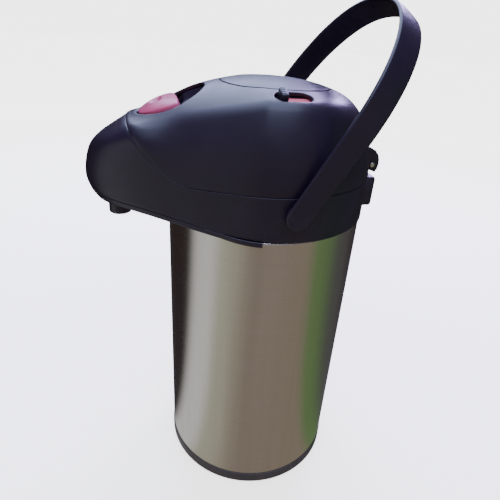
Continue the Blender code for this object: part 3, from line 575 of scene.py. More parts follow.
def refine(node, finish, width=0.25, angle=35.0):
    # a finer copy of a node: merged, its sharp edges broken, with its own finish
    bm = bmesh.new()
    bm.from_mesh(nodes[node].data)
    bmesh.ops.remove_doubles(bm, verts=bm.verts[:], dist=weld)
    if width > 0.0:
        bmesh.ops.dissolve_limit(bm, angle_limit=math.radians(1.0), verts=bm.verts[:], edges=bm.edges[:])
        roundEdges(bm, [e for e in bm.edges if e.calc_face_angle(0.0) > math.radians(angle)], width, 2)
    words = node.split("_")
    obj = bare(words[0] + "".join(word.capitalize() for word in words[1:]) + "Fine", bm)
    return settle(obj, finish, bodyOf[node], node)


# the head's own surfaces

headSet = {
    "radius": 83.0, "wall": 2.5, "flare": math.radians(25.0), "blend": 8.0, "steps": 224,
    "seam": 300.0, "seamGap": 0.3, "riseFrom": -68.0, "rise": 0.0190,
    "creaseRadius": 66.5, "creaseFlare": math.radians(22.0), "creaseFront": 107.0,
    "crown": 368.4, "crownY": -5.0, "rim": 266.3, "deck": 299.4, "deckThick": 2.4, "mouth": 46.0, "skirt": 288.0,
    # nose front distance from the body axis, from the rim up to the lid seam
    "nose": ((262.0, 134.5), (272.0, 135.5), (278.0, 140.0), (284.0, 143.8), (292.0, 146.2), (302.0, 145.4),
             (311.0, 143.0), (318.0, 139.5), (324.0, 133.5), (330.0, 123.5), (335.0, 114.5), (340.0, 107.5),
             (346.0, 100.0)),
}


def direction(angle):
    return math.cos(angle), -math.sin(angle)


def noseFront(z):
    table = headSet["nose"]
    if z <= table[0][0]:
        return table[0][1]
    if z >= table[-1][0]:
        return table[-1][1]
    i = next(k for k in range(len(table) - 1) if z <= table[k + 1][0])
    before, low, high, after = table[max(i - 1, 0)], table[i], table[i + 1], table[min(i + 2, len(table) - 1)]
    span = high[0] - low[0]
    t = (z - low[0]) / span
    slopeLow = (high[1] - before[1]) / (high[0] - before[0]) * span
    slopeHigh = (after[1] - low[1]) / (after[0] - low[0]) * span
    return ((2 * t ** 3 - 3 * t ** 2 + 1) * low[1] + (t ** 3 - 2 * t ** 2 + t) * slopeLow
            + (3 * t ** 2 - 2 * t ** 3) * high[1] + (t ** 3 - t ** 2) * slopeHigh)


def planRadius(angle, radius, flare, front):
    # a circle at the rear that flares into straight sides and a blunt front
    fold = angle if math.cos(angle) >= 0.0 else math.pi - angle
    if fold > math.pi:
        fold -= full
    side = radius if fold <= flare else radius / math.cos(fold - flare)
    if math.sin(fold) <= 0.05:
        return side
    power = headSet["blend"]
    return (side ** -power + (front / math.sin(fold)) ** -power) ** (-1.0 / power)


def headRadius(angle, z):
    return planRadius(angle, headSet["radius"], headSet["flare"], noseFront(z))


def seamAt(angle):
    z = headSet["seam"]
    for _ in range(30):
        radius = headRadius(angle, z)
        ahead = max(0.0, headSet["riseFrom"] + radius * math.sin(angle))
        z = 0.5 * z + 0.5 * (headSet["seam"] + headSet["rise"] * ahead ** 2)
    return z, radius


def crownHeight(x, y):
    ahead = min(1.0, max(0.0, (-y - 20.0) / 60.0))
    run = y - headSet["crownY"]
    fall = 0.00283 * run * run if run < 0.0 else 0.00212 * run * run + 6.9 * (run / 74.0) ** 5
    return headSet["crown"] - (0.0022 + 0.0045 * ahead) * x * x - fall


def rimHeight(angle):
    y = -headRadius(angle, 272.0) * math.sin(angle)
    t = min(1.0, max(0.0, (-22.0 - y) / 108.0))
    return 262.5 + 15.0 * t * t * (3.0 - 2.0 * t)


def quarter(centreR, centreZ, size, start, parts=4):
    # points of a quarter round that begins at the given angle, in radius and height
    return [(centreR + size * math.cos(start + math.pi / 2 * k / parts),
             centreZ + size * math.sin(start + math.pi / 2 * k / parts)) for k in range(parts + 1)]


lidSet = {"edge": 0.5, "lip": 0.8, "wallSteps": 16, "filletSteps": 9, "crownSteps": 18,
          "slot": (54.5, -1.0), "slotLength": 27.0, "slotWidth": 15.0, "slotTilt": math.radians(20.0),
          "slotRound": 1.0, "padY": -80.0, "padTilt": math.radians(22.0), "padHalf": (26.5, 27.0),
          "wellRound": 1.5}
plateSet = {"radius": 42.5, "gap": 0.5, "y": 1.0, "edge": 0.9, "depth": 2.6, "low": 351.0}


def holeRadius(angle, size):
    # distance from the axis to the plate's round hole, which stands a little behind it
    back = -plateSet["y"] * math.sin(angle)
    return back + math.sqrt(size ** 2 - plateSet["y"] ** 2 + back ** 2)


def lidSection(angle):
    s = lidSet
    seamZ, seamR = seamAt(angle)
    seamZ += headSet["seamGap"] / 2
    creaseR = min(planRadius(angle, headSet["creaseRadius"], headSet["creaseFlare"], headSet["creaseFront"]),
                  seamR - 0.6)
    cx, cy = direction(angle)
    creaseZ = crownHeight(creaseR * cx, creaseR * cy)
    rear = max(0.0, -math.sin(angle))
    height = creaseZ - seamZ
    fall = min((5.0 + 10.0 * rear) / max(height, 8.0), 0.45)
    endR = creaseR * (1.0 - 0.07 - 0.13 * rear)
    main = []
    first = s["edge"] / max(height, 2.0)
    for i in range(s["wallSteps"] + 1):
        f = first + (1.0 - fall - first) * i / s["wallSteps"]
        main.append((seamR + (creaseR - seamR) * f ** 1.8, seamZ + height * f))
    start = main[-1]
    end = (endR, crownHeight(endR * cx, endR * cy))
    for i in range(1, s["filletSteps"] + 1):
        t = i / s["filletSteps"]
        main.append(tuple((1 - t) ** 2 * start[k] + 2 * t * (1 - t) * (creaseR, creaseZ)[k] + t * t * end[k]
                          for k in (0, 1)))
    lipR = holeRadius(angle, plateSet["radius"] + plateSet["gap"]) + s["lip"]
    for i in range(1, s["crownSteps"] + 1):
        r = endR + (lipR - endR) * i / s["crownSteps"]
        main.append((r, crownHeight(r * cx, r * cy)))
    under = []
    for i, (r, z) in enumerate(main):
        before, after = main[max(i - 1, 0)], main[min(i + 1, len(main) - 1)]
        dr, dz = after[0] - before[0], after[1] - before[1]
        size = math.hypot(dr, dz)
        under.append((r - headSet["wall"] * dz / size, z + headSet["wall"] * dr / size))
    edge = quarter(seamR - s["edge"], seamZ + s["edge"], s["edge"], -math.pi / 2)[:-1]
    lip = quarter(lipR, main[-1][1] - s["lip"], s["lip"], math.pi / 2)[1:]
    hole = [(lipR - s["lip"], main[-1][1] - headSet["wall"])]
    loop = edge + main + lip + hole + under[::-1] + [(under[0][0], seamZ)]
    return loop + [loop[0]]


def ovalLoop(halfX, halfY, steps):
    return [(halfX * math.cos(full * i / steps), halfY * math.sin(full * i / steps)) for i in range(steps + 1)]


def slotLoop(length, width, steps):
    # stadium outline, long along Y, walked once round
    reach = length / 2 - width / 2
    points = []
    for side in (1.0, -1.0):
        for i in range(steps // 2):
            a = math.pi * i / (steps // 2 - 1)
            points.append((side * width / 2 * math.cos(a), side * (reach + width / 2 * math.sin(a))))
    return points + [points[0]]


def crownPlace(x, y, axis, tilt):
    return Matrix.Translation((x, y, crownHeight(x, y))) @ Matrix.Rotation(tilt, 4, axis)


def flaredCutter(name, place, tilt, loopAt, rounding, depth, steps):
    # a cutter whose wall opens in a round flare just where it meets the crown
    rows = [(rounding + 1.5, 5.0), (rounding + 0.75, 0.22)]
    for k in range(1, 7):
        t = math.pi / 2 * k / 6
        rows.append((rounding * (1.0 - math.sin(t)), -rounding * (1.0 - math.cos(t))))
    rows.append((0.0, -depth))
    loops = [loopAt(offset) for offset, _ in rows]

    def spot(column, row):
        u, v = loops[row][column]
        flat = place @ Vector((u, v, 0.0))
        raised = (crownHeight(flat.x, flat.y) - flat.z) * math.cos(tilt)
        if row == len(rows) - 1:
            raised = 0.0
        return place @ Vector((u, v, raised + rows[row][1]))

    return bare(name, shaped(steps, len(rows) - 1, spot, caps=True))


slotPlace = crownPlace(*lidSet["slot"], "Y", lidSet["slotTilt"])
padPlace = crownPlace(0.0, lidSet["padY"], "X", lidSet["padTilt"])
hingeSet = {"y": 86.2, "z": 304.0, "knuckle": 6.6, "knuckleHalf": 5.4, "space": 7.4, "spaceHalf": 5.9,
            "half": 20.0, "pin": 2.0, "pinHalf": 20.9, "earRound": 1.1, "bracketRound": 1.0}


def acrossPin(radius, reach, steps=48):
    turn = Matrix.Rotation(math.pi / 2, 4, "Y")
    profile = soften([(0.0, -reach), (radius, -reach), (radius, reach), (0.0, reach)], 0.4)
    return lathe(profile, steps, moved(0.0, hingeSet["y"], hingeSet["z"], turn))


def buildLid():
    s = lidSet
    lid = bare("lidShell", rolled(lidSection, headSet["steps"]))
    halfX, halfY = s["padHalf"]
    slot = flaredCutter("slotCut", slotPlace, s["slotTilt"],
                        lambda grow: slotLoop(s["slotLength"] + 2 * grow, s["slotWidth"] + 2 * grow, 48),
                        s["slotRound"], 9.0, 48)
    well = flaredCutter("wellCut", padPlace, s["padTilt"],
                        lambda grow: ovalLoop(halfX + grow, halfY + grow, 96), s["wellRound"], 12.0, 96)
    pin = hingeSet
    joined(lid, [slot, well, bare("lidKnuckleSpace", acrossPin(pin["space"], pin["spaceHalf"]))])
    settle(lid, "headPlastic", "lid", "lid_shell", angle=40.0)
    outline = ((80.6, 301.2), (83.8, 300.6), (84.0, 299.6), (86.6, 298.9), (89.6, 297.6), (91.6, 300.2),
               (92.3, 304.0), (92.1, 308.6), (90.6, 312.6), (87.6, 316.0), (83.0, 318.4), (79.6, 319.2))
    ears = bare("lidEars", block(outline, -pin["half"], pin["half"], pin["earRound"]))
    neck = ((70.0, 290.0), (96.0, 290.0), (96.0, pin["z"]), (70.0, pin["z"]))
    joined(ears, [bare("knuckleSpace", acrossPin(pin["space"], pin["spaceHalf"])),
                  bare("neckSpace", block(neck, -pin["spaceHalf"], pin["spaceHalf"], 0.0))])
    settle(ears, "headPlastic", "lid")


def collarSection(angle):
    nose = math.sin(angle)
    lift = 0.0 if nose < 0.16 else min(1.0, (nose - 0.16) / 0.09)
    rim = headSet["rim"]
    low = max(rim, rimHeight(angle) + 4.5) * lift + rim * (1.0 - lift)
    seamZ, seamR = seamAt(angle)
    top = seamZ - headSet["seamGap"] / 2
    wall = headSet["wall"]
    edge = 0.6

    def outR(z):
        return headRadius(angle, z)

    points = quarter(outR(low) - edge, low + edge, edge, -math.pi / 2)[:-1]
    for i in range(21):
        z = low + edge + (top - low - 2 * edge) * i / 20
        points.append((outR(z), z))
    points += quarter(seamR - edge, top - edge, edge, 0.0)[1:]
    points.append((outR(top) - wall, top))
    deck = headSet["deck"]
    under = deck - headSet["deckThick"]
    deckTop = min(deck, top - 0.4)
    for f in (0.66, 0.33, 0.0):
        z = deckTop + (top - deckTop) * f
        points.append((outR(z) - wall, z))
    mouth = headSet["mouth"]
    points += [(mouth + 2.2, deck), (mouth + 0.9, deck - 0.3), (mouth, deck - 1.2), (mouth, headSet["skirt"]),
               (mouth + 2.4, headSet["skirt"]), (mouth + 2.4, under)]
    for f in (1.0, 0.75, 0.5, 0.25, 0.0):
        z = low + (under - low) * f
        points.append((outR(z) - wall, z))
    return points + [points[0]]


def buildCollar():
    collar = bare("collarShell", rolled(collarSection, headSet["steps"]))
    cuts = []
    for side in (1.0, -1.0):
        place = moved(0.0, 0.0, bailSet["pivot"], Matrix.Rotation(side * math.pi / 2, 4, "Y"))
        cuts.append(bare("pivotCut", lathe([(0.0, 74.0), (5.5, 74.0), (5.5, 90.0), (0.0, 90.0)], 48, place)))
    place = moved(0.0, 0.0, 292.6, Matrix.Rotation(math.pi / 2, 4, "X"))
    cuts.append(bare("pipeCut", lathe([(0.0, 30.0), (4.9, 30.0), (4.9, 56.0), (0.0, 56.0)], 40, place)))
    joined(collar, cuts)
    settle(collar, "headPlastic", "pot", "collar", angle=40.0)


spoutSet = {"inner": 82.5, "start": math.asin(22.0 / 83.0), "thick": 4.2, "y": -121.0, "hole": 9.2}


def spoutSection(angle):
    s = spoutSet
    low = rimHeight(angle)
    high = low + s["thick"]
    outer = max(headRadius(angle, high), s["inner"] + 1.9)
    outerLow = max(headRadius(angle, low) - 0.6, s["inner"] + 1.5)
    points = soften([(s["inner"], low), (s["inner"], high), (outer, high), (outerLow, low)], 0.7, loop=True)
    return points + [points[0]]


def buildSpout():
    s = spoutSet
    skin = rolled(spoutSection, 120, low=s["start"], high=math.pi - s["start"], caps=True)
    cover = bare("spoutUnderside", skin)
    hole = bare("nozzleCut", lathe([(0.0, 240.0), (s["hole"], 240.0), (s["hole"], 300.0), (0.0, 300.0)], 64,
                                   moved(0.0, s["y"], 0.0)))
    joined(cover, [hole])
    settle(cover, "headPlastic", "pot", "spout_cover")
    tip = [(6.0, 261.2), (8.0, 261.2), (8.8, 262.2), (8.8, 284.0), (5.0, 284.0), (5.0, 263.4)]
    turned("nozzleTip", tip, "headPlastic", "nozzle", 0.5, 72, moved(0.0, s["y"], 0.0), True)
    refine("discharge_pipe", "plainSteel", 0.0)


def plateSection(angle):
    s = plateSet
    cx, cy = direction(angle)

    def top(radius):
        return crownHeight(radius * cx, s["y"] + radius * cy)

    shares = (0.0, 0.08, 0.2, 0.35, 0.5, 0.65, 0.78, 0.88, 0.94)
    points = [(s["radius"] * f, top(s["radius"] * f)) for f in shares]
    flat = s["radius"] - s["edge"]
    points.append((flat, top(flat)))
    points += quarter(flat, top(flat) - s["edge"], s["edge"], 0.0)[::-1][1:]
    points += [(s["radius"], s["low"] + 0.3), (s["radius"] - 0.3, s["low"])]
    inner = s["radius"] - s["depth"]
    points += [(inner, s["low"]), (inner, top(inner) - s["depth"])]
    points += [(s["radius"] * f, top(s["radius"] * f) - s["depth"]) for f in (0.8, 0.6, 0.38)]
    return points + [(6.5, 365.0), (6.5, 348.1), (6.2, 347.8), (0.0, 347.8)]


def buildPushPlate():
    plate = bare("pushPlateTop", rolled(plateSection, 144, centre=(0.0, plateSet["y"])))
    settle(plate, "headPlastic", "pump", "push_plate")
    cap = [(0.0, 345.2), (36.0, 345.2), (36.0, 347.4), (0.0, 347.4)]
    turned("bellowsCapDisc", cap, "headPlastic", "bellows_cap", 0.4)


print("head formulas ready")

padSet = {"centreY": -11.3, "rear": 4.4, "bulge": 1.6, "inset": 1.0, "low": -8.4, "side": -4.6, "rim": -2.5,
          "dome": 3.1, "dimple": 2.3, "dimpleShare": 0.34, "steps": 120, "power": 5.0}
traySet = {"floor": -15.8, "wall": -12.4, "rim": -9.6, "clear": 0.6, "scoopFrom": 4.0, "scoopRun": 8.0,
           "floorRise": 3.8, "floorIn": 6.0, "wallRise": 8.2, "wallIn": 5.0}


def padRadius(angle, inset):
    # distance from the pad's middle to its outline, an oval cut by a gently bowed rear edge
    s = padSet
    halfX, halfY = lidSet["padHalf"][0] - inset, lidSet["padHalf"][1] - inset
    cx, cy = math.cos(angle), math.sin(angle)
    a = (cx / halfX) ** 2 + (cy / halfY) ** 2
    b = s["centreY"] * cy / halfY ** 2
    c = (s["centreY"] / halfY) ** 2 - 1.0
    oval = (-b + math.sqrt(b * b - a * c)) / a
    if cy <= 0.02:
        return oval
    rear = (s["rear"] + s["bulge"] - inset - s["centreY"]) / cy
    return (oval ** -s["power"] + rear ** -s["power"]) ** (-1.0 / s["power"])


def padSection(angle):
    s = padSet
    points = []
    for f in (0.0, 0.06, 0.12, 0.18, 0.22, 0.26, 0.3, 0.36, 0.44, 0.54, 0.64, 0.74, 0.82, 0.88, 0.92, 0.95,
              0.975):
        well = s["dimple"] * max(0.0, 1.0 - (f / s["dimpleShare"]) ** 2) ** 1.5
        ring = 0.30 * math.exp(-((f - 0.40) / 0.07) ** 2)
        points.append((f, s["rim"] + s["dome"] * (1.0 - f ** 2.2) - well + ring - 0.5 * f ** 12))
    points += [(0.992, s["rim"] - 0.95), (1.0, s["side"] + 0.1), (1.0, -7.0), (0.955, s["low"]), (0.0, s["low"])]
    reach = padRadius(angle, s["inset"])
    return [(reach * f, z) for f, z in points]


def ringPiece(name, sectionAt, columns, place, centre):
    # rolled about an upright axis in a tilted frame
    bm = rolled(sectionAt, columns, centre)
    seat = Matrix.Translation(place.translation * mm) @ place.to_3x3().to_4x4()
    bmesh.ops.transform(bm, matrix=seat, verts=bm.verts[:])
    return bare(name, bm)


def buildPad():
    pad = ringPiece("releasePad", lambda a: padSection(-a), padSet["steps"], padPlace, (0.0, padSet["centreY"]))
    settle(pad, "redPlastic", "release", "release_button")
    halfX, halfY = lidSet["padHalf"]
    s = traySet

    def traySection(angle):
        reach = 1.0 / math.hypot(math.cos(angle) / halfX, math.sin(angle) / halfY)
        x, y = reach * math.cos(angle), -reach * math.sin(angle)
        flat = padPlace @ Vector((x, y, 0.0))
        crown = (crownHeight(flat.x, flat.y) - flat.z) * math.cos(lidSet["padTilt"])
        under = crown - headSet["wall"] - s["clear"]
        t = min(1.0, max(0.0, (y - s["scoopFrom"]) / s["scoopRun"]))
        rim = s["rim"] + max(under - s["rim"], 0.0) * t * t * (3.0 - 2.0 * t)
        # behind the pad the tray is a shallow scoop for a fingertip
        wall, sill = s["wall"] + t * (rim + s["wallRise"]), s["floor"] + t * s["floorRise"]
        low, high = s["floorIn"] * t, s["wallIn"] * t
        corners = [(-7.0 - low, sill - 1.2), (0.3 - high, wall - 0.9), (0.7, rim), (-0.5, rim),
                   (-0.9 - high, wall), (-8.0 - low, sill)]
        points = soften([(reach + grow, z) for grow, z in corners], 1.6)
        return [(0.0, s["floor"] - 1.2)] + points + [(0.0, s["floor"])]

    tray = ringPiece("hollowTray", traySection, 96, padPlace, (0.0, 0.0))
    settle(tray, "headPlastic", "lid", "button_tray")


def localBox(low, high, place, width, name):
    bm = bmesh.new()
    bmesh.ops.create_cube(bm, size=1.0)
    size = [h - l for l, h in zip(low, high)]
    middle = [(h + l) / 2 for l, h in zip(low, high)]
    bmesh.ops.scale(bm, vec=[v * mm for v in size], verts=bm.verts[:])
    bmesh.ops.translate(bm, vec=[v * mm for v in middle], verts=bm.verts[:])
    if width > 0.0:
        roundEdges(bm, bm.edges[:], width, 4)
    seat = Matrix.Translation(place.translation * mm) @ place.to_3x3().to_4x4()
    bmesh.ops.transform(bm, matrix=seat, verts=bm.verts[:])
    return bare(name, bm)


lockSet = {"finLow": (-5.2, -10.4, -3.9), "finHigh": (5.4, -5.0, 4.0), "ribs": 4, "ribPitch": 2.3}


def buildLock():
    s = lockSet
    track = localBox((-7.4, -16.2, -6.8), (7.9, 16.2, -4.3), slotPlace, 0.4, "lockTrack")
    channel = localBox((-6.2, -15.2, -5.6), (6.9, 15.2, -1.0), slotPlace, 0.0, "channelCut")
    joined(track, [channel])
    settle(track, "headPlastic", "lid", "slider_track")
    strip = localBox((-5.8, -14.8, -5.3), (6.6, 14.8, -4.6), slotPlace, 0.15, "lockMarker")
    settle(strip, "markerPlastic", "lid", "lock_indicator")
    foot = localBox((-5.4, -11.0, -4.3), (6.2, -4.0, -3.4), slotPlace, 0.25, "lockSlider")
    fin = localBox(s["finLow"], s["finHigh"], slotPlace, 1.3, "lockFin")
    ribs = []
    for i in range(s["ribs"]):
        x = (i - (s["ribs"] - 1) / 2) * s["ribPitch"]
        ribs.append(localBox((x - 0.35, -9.6, 3.6), (x + 0.35, -5.8, 5.3), slotPlace, 0.0, "ribCut"))
    joined(fin, ribs)
    joined(foot, [fin], "UNION")
    settle(foot, "headPlastic", "slider", "lock_slider", angle=30.0)


def buildHinge():
    s = hingeSet
    outline = ((80.0, 267.4), (91.0, 267.4), (92.2, 269.4), (92.2, 291.4), (91.4, 293.2), (80.0, 293.2))
    bracket = bare("hingeBracket", block(outline, -s["half"], s["half"], s["bracketRound"]))
    outline = ((84.0, 290.0), (91.6, 290.0), (91.6, s["z"]), (84.0, s["z"]))
    neck = bare("neck", block(outline, -s["knuckleHalf"], s["knuckleHalf"], 0.3))
    knuckle = bare("knuckle", acrossPin(s["knuckle"], s["knuckleHalf"]))
    joined(bracket, [neck, knuckle], "UNION")
    seat = bare("seatCut", lathe([(0.0, 200.0), (83.4, 200.0), (83.4, 310.0), (0.0, 310.0)], 192))
    joined(bracket, [seat])
    settle(bracket, "headPlastic", "pot", "hinge_bracket")
    settle(bare("hingePin", acrossPin(s["pin"], s["pinHalf"])), "plainSteel", "pot", "hinge_pin")
    for side, label in ((1.0, "right"), (-1.0, "left")):
        place = moved(side * 11.0, 92.5, 280.0, Matrix.Rotation(-math.pi / 2, 4, "X"))
        head = soften([(0.0, 0.0), (3.4, 0.0), (3.4, 1.0), (2.6, 1.6), (0.0, 1.6)], 0.3)
        screw = bare("bracketScrew" + label.capitalize(), lathe(head, 48, place))
        for turn in (0.0, math.pi / 2):
            spin = place @ Matrix.Rotation(turn, 4, "Z")
            cross = Matrix.Translation(spin.translation / mm) @ spin.to_3x3().to_4x4()
            joined(screw, [localBox((-1.9, -0.4, 0.9), (1.9, 0.4, 2.4), cross, 0.0, "crossCut")])
        settle(screw, "plainSteel", "pot", "bracket_screw_" + label)


bailSet = {"pivot": 287.5, "lean": math.radians(32.6), "lowHalf": 87.95, "highHalf": 85.73, "arm": 52.0,
           "reach": 158.5, "bend": 2.25, "thick": 3.9, "lowWidth": 18.6, "highWidth": 21.8, "corner": 1.45,
           "crown": 0.35}


def bailPath():
    # half the bail's line from the foot of one arm to the top, as distance out, distance up and half width
    s = bailSet
    end = s["lowWidth"] / 2

    def halfWidth(up):
        return 0.5 * (s["lowWidth"] + (s["highWidth"] - s["lowWidth"]) * min(1.0, max(up, 0.0) / s["reach"]))

    points = []
    for i in range(10):
        a = math.pi / 2 * (1 - i / 10) * 0.985
        points.append((s["lowHalf"], -end * math.sin(a), end * math.cos(a)))
    for i in range(8):
        up = s["arm"] * i / 8
        points.append((s["lowHalf"] + (s["highHalf"] - s["lowHalf"]) * i / 8, up, halfWidth(up)))
    power = 2.0 / s["bend"]
    for i in range(49):
        a = math.pi / 2 * i / 48
        out = s["highHalf"] * max(math.cos(a), 0.0) ** power if i < 48 else 0.0
        up = s["arm"] + (s["reach"] - s["arm"]) * math.sin(a) ** power
        points.append((out, up, halfWidth(up)))
    return points


def bandLoop(half, width, corner, crown):
    # a flat band's section with round corners and slightly full faces
    points = []
    for k, (u, v) in enumerate(((1, 1), (-1, 1), (-1, -1), (1, -1))):
        for i in range(5):
            a = math.pi / 2 * (k + i / 4)
            points.append((u * (half - corner) + corner * math.cos(a),
                           v * (width - corner) + corner * math.sin(a)))
        if k in (1, 3):
            side = k - 2
            for f in (-0.66, -0.33, 0.0, 0.33, 0.66):
                points.append((side * (half + crown * (1 - f * f)), side * f * (width - corner)))
    return points + [points[0]]


def buildBail():
    s = bailSet
    half = bailPath()
    path = half + [(-x, up, width) for x, up, width in half[-2::-1]]
    lean = moved(0.0, 0.0, s["pivot"], Matrix.Rotation(-s["lean"], 4, "X"))
    loops = []
    frames = []
    for i, (x, up, width) in enumerate(path):
        ax, az, _ = path[max(i - 1, 0)]
        bx, bz, _ = path[min(i + 1, len(path) - 1)]
        along = Vector((bx - ax, 0.0, bz - az)).normalized()
        frames.append((Vector((x, 0.0, up)), Vector((along.z, 0.0, -along.x))))
        corner = min(s["corner"], width * 0.6)
        loops.append(bandLoop(s["thick"] / 2 - s["crown"], max(width, 0.4), min(corner, s["thick"] / 2 - 0.4),
                              s["crown"]))

    def spot(column, row):
        centre, out = frames[column]
        u, v = loops[column][row]
        return centre + out * u + Vector((0.0, v, 0.0))

    bm = shaped(len(path) - 1, len(loops[0]) - 1, spot, caps=True)
    bmesh.ops.transform(bm, matrix=lean, verts=bm.verts[:])
    settle(bare("bailBand", bm), "headPlastic", "bail", "handle", angle=50.0)
    for side, label in ((1.0, "Right"), (-1.0, "Left")):
        place = moved(0.0, 0.0, s["pivot"], Matrix.Rotation(side * math.pi / 2, 4, "Y"))
        boss = soften([(0.0, 83.6), (8.4, 83.6), (8.4, 86.6), (0.0, 86.6)], 0.3)
        settle(bare("bailBoss" + label, lathe(boss, 64, place)), "headPlastic", "bail")
        pin = [(0.0, 76.4), (7.6, 76.4), (7.6, 79.6), (5.0, 79.6), (5.0, 83.2), (0.0, 83.2)]
        turned("pivotPin" + label, pin, "plainSteel", "pivot_pin_" + label.lower(), 0.35, 64, place)


bodySet = {"radius": 82.0, "wall": 0.8, "low": 12.9, "top": 265.9, "neck": 50.0, "neckTop": 286.8, "steps": 224,
           "tubeY": -40.0}


def buildBody():
    s = bodySet
    r, w, top = s["radius"], s["wall"], s["top"]
    outer = [(r - 0.6, s["low"]), (r, s["low"] + 0.5), (r, s["low"] + 6.0), (r, top - 6.0), (r, top - 1.5),
             (r - 0.5, top - 0.4), (r - 1.6, top), (78.4, top + 0.2), (s["neck"] + 2.0, 283.0),
             (s["neck"], 284.6),
             (s["neck"], s["neckTop"]), (s["neck"] - w, s["neckTop"]), (s["neck"] - w, 284.2),
             (s["neck"] + 1.4, 282.0), (78.0, top - 0.9), (r - w, top - 1.6), (r - w, s["low"] + 0.2)]
    turned("steelBody", outer, "brushedSteel", "outer_shell", 0.35, s["steps"], loop=True)
    flask = [(0.0, 28.0), (40.0, 25.0), (66.0, 24.0), (71.5, 26.5), (73.0, 32.0), (73.0, 252.0), (70.0, 260.0),
             (52.0, 275.0), (47.3, 279.0), (47.3, 287.1), (50.0, 287.1), (50.0, 287.9), (46.5, 287.9),
             (46.5, 278.6), (51.4, 274.2), (69.3, 259.4), (72.2, 251.6), (72.2, 32.2), (70.9, 27.2), (65.9, 24.9),
             (40.0, 25.9), (0.0, 28.9)]
    turned("flaskLiner", flask, "plainSteel", "inner_flask", 1.5, 144)
    floor = [(0.0, 17.0), (60.0, 16.4), (80.7, 15.0), (80.7, 16.0), (60.0, 17.4), (0.0, 18.0)]
    turned("bodyFloor", floor, "plainSteel", "shell_bottom", 0.4, 128)
    seal = soften([(34.4, 283.0), (46.1, 283.0), (46.1, 286.6), (34.4, 286.6)], 0.6, True)
    ring = bare("mouthSeal", lathe(seal, 128, loop=True))
    tubeLine = moved(0.0, s["tubeY"], 0.0)
    hole = bare("tubeCut", lathe([(0.0, 280.0), (4.7, 280.0), (4.7, 290.0), (0.0, 290.0)], 48, tubeLine))
    joined(ring, [hole])
    settle(ring, "silicone", "pot", "mouth_ring")
    tube = [(3.4, 34.0), (4.2, 34.0), (4.2, 287.6), (3.4, 287.6)]
    turned("dipTube", tube, "plainSteel", "dip_tube", 0.2, 48, tubeLine, True)


def buildBase():
    cover = [(76.0, 1.2), (81.6, 1.2), (82.6, 2.4), (82.6, 11.6), (82.1, 12.5), (80.8, 12.5), (80.8, 14.4),
             (79.4, 14.4), (79.4, 9.4), (9.0, 9.4), (9.0, 7.0), (75.2, 7.0)]
    turned("baseRing", cover, "basePlastic", "base_cover", 0.5, bodySet["steps"], loop=True)
    foot = [(0.0, 0.0), (72.5, 0.0), (74.0, 0.8), (74.0, 6.6), (70.0, 6.6), (70.0, 3.2), (8.4, 3.2), (8.4, 10.0),
            (2.4, 10.0), (2.4, 4.0), (0.0, 4.0)]
    turned("turningFoot", foot, "basePlastic", "swivel_foot", 0.4, 144)
    washer = [(2.6, 10.4), (15.0, 10.4), (15.0, 11.6), (2.6, 11.6)]
    turned("footWasher", washer, "plainSteel", "foot_washer", 0.3, 72, loop=True)
    screw = [(0.0, 4.6), (2.0, 4.6), (2.0, 11.9), (4.4, 11.9), (4.4, 13.4), (3.6, 14.0), (0.0, 14.0)]
    turned("footScrew", screw, "plainSteel", "foot_screw", 0.2, 48)


bellowsSet = {"low": 304.6, "high": 344.8, "folds": 5, "outer": 36.4, "inner": 31.6, "wall": 1.4, "keep": 0.50}
coilSet = {
    "bellows_spring": {"name": "pumpSpring", "radius": 20.0, "wire": 1.1, "low": 292.0, "high": 344.0,
                       "turns": 6, "place": Matrix.Identity(4), "joint": "pump_stroke", "keep": 0.60},
    "button_spring": {"name": "padSpring", "radius": 3.2, "wire": 0.5, "low": -15.0, "high": -9.2, "turns": 4,
                      "place": padPlace @ Matrix.Translation((0.0, -6.0, 0.0)), "joint": "release_press",
                      "keep": 0.50},
}


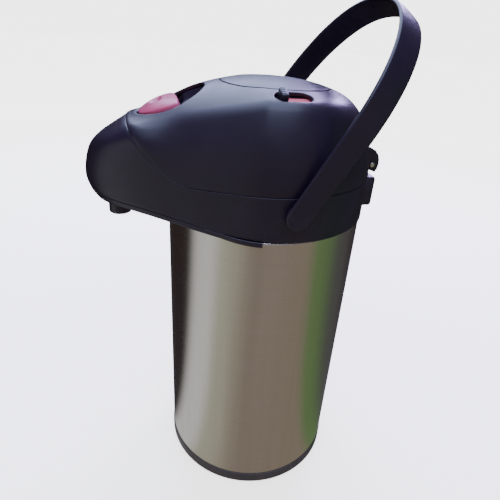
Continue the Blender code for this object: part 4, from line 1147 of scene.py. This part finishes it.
def buildCoil(node, s):
    steps = 28 * s["turns"]
    sides = 10
    rise = (s["high"] - s["low"]) / (full * s["turns"] * s["radius"])

    def spot(column, row):
        angle = full * s["turns"] * column / steps
        out = Vector((math.cos(angle), math.sin(angle), 0.0))
        along = Vector((-math.sin(angle), math.cos(angle), rise)).normalized()
        centre = out * s["radius"] + Vector((0, 0, s["low"] + (s["high"] - s["low"]) * column / steps))
        a = full * row / sides
        return s["place"] @ (centre + s["wire"] * (math.cos(a) * out + math.sin(a) * along.cross(out)))

    coil = settle(bare(s["name"], shaped(steps, sides, spot, caps=True)), "springSteel", bodyOf[node], node)
    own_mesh(coil)


def buildPump():
    s = bellowsSet
    base = [(5.0, 287.2), (31.0, 287.2), (33.2, 289.0), (33.2, 300.6), (60.0, 300.6), (60.0, 303.0),
            (40.0, 303.0), (40.0, 322.0), (38.2, 322.0), (38.2, 304.0), (31.0, 304.0), (31.0, 290.0), (5.0, 290.0)]
    turned("lidPlug", base, "headPlastic", "lid_base", 0.5, 128, loop=True)
    seal = [(33.5, 291.0), (34.9, 291.0), (35.4, 292.0), (34.9, 293.0), (33.5, 293.0)]
    turned("plugSeal", seal, "silicone", "plug_gasket", 0.3, loop=True)
    valve = [(0.0, 285.0), (9.0, 285.4), (9.0, 286.6), (2.4, 286.8), (2.4, 291.0), (0.0, 291.0)]
    turned("airValve", valve, "silicone", "air_valve", 0.3, 48)
    outer = []
    for i in range(2 * s["folds"] + 1):
        z = s["low"] + (s["high"] - s["low"]) * i / (2 * s["folds"])
        outer.append((s["outer"] if i % 2 else s["inner"], z))
    inner = [(r - s["wall"], z) for r, z in outer[::-1]]
    air = turned("airBellows", outer + inner, "darkRubber", "bellows", 0.9, loop=True)
    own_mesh(air)
    for node, values in coilSet.items():
        buildCoil(node, values)


def buildLatch():
    refine("latch_hook", "headPlastic", 0.35)
    refine("latch_catch", "headPlastic", 0.35)


for build in (buildLid, buildCollar, buildSpout, buildPushPlate, buildPad, buildLock, buildHinge, buildBail,
              buildBody, buildBase, buildPump, buildLatch):
    build()
    print(build.__name__, "done")
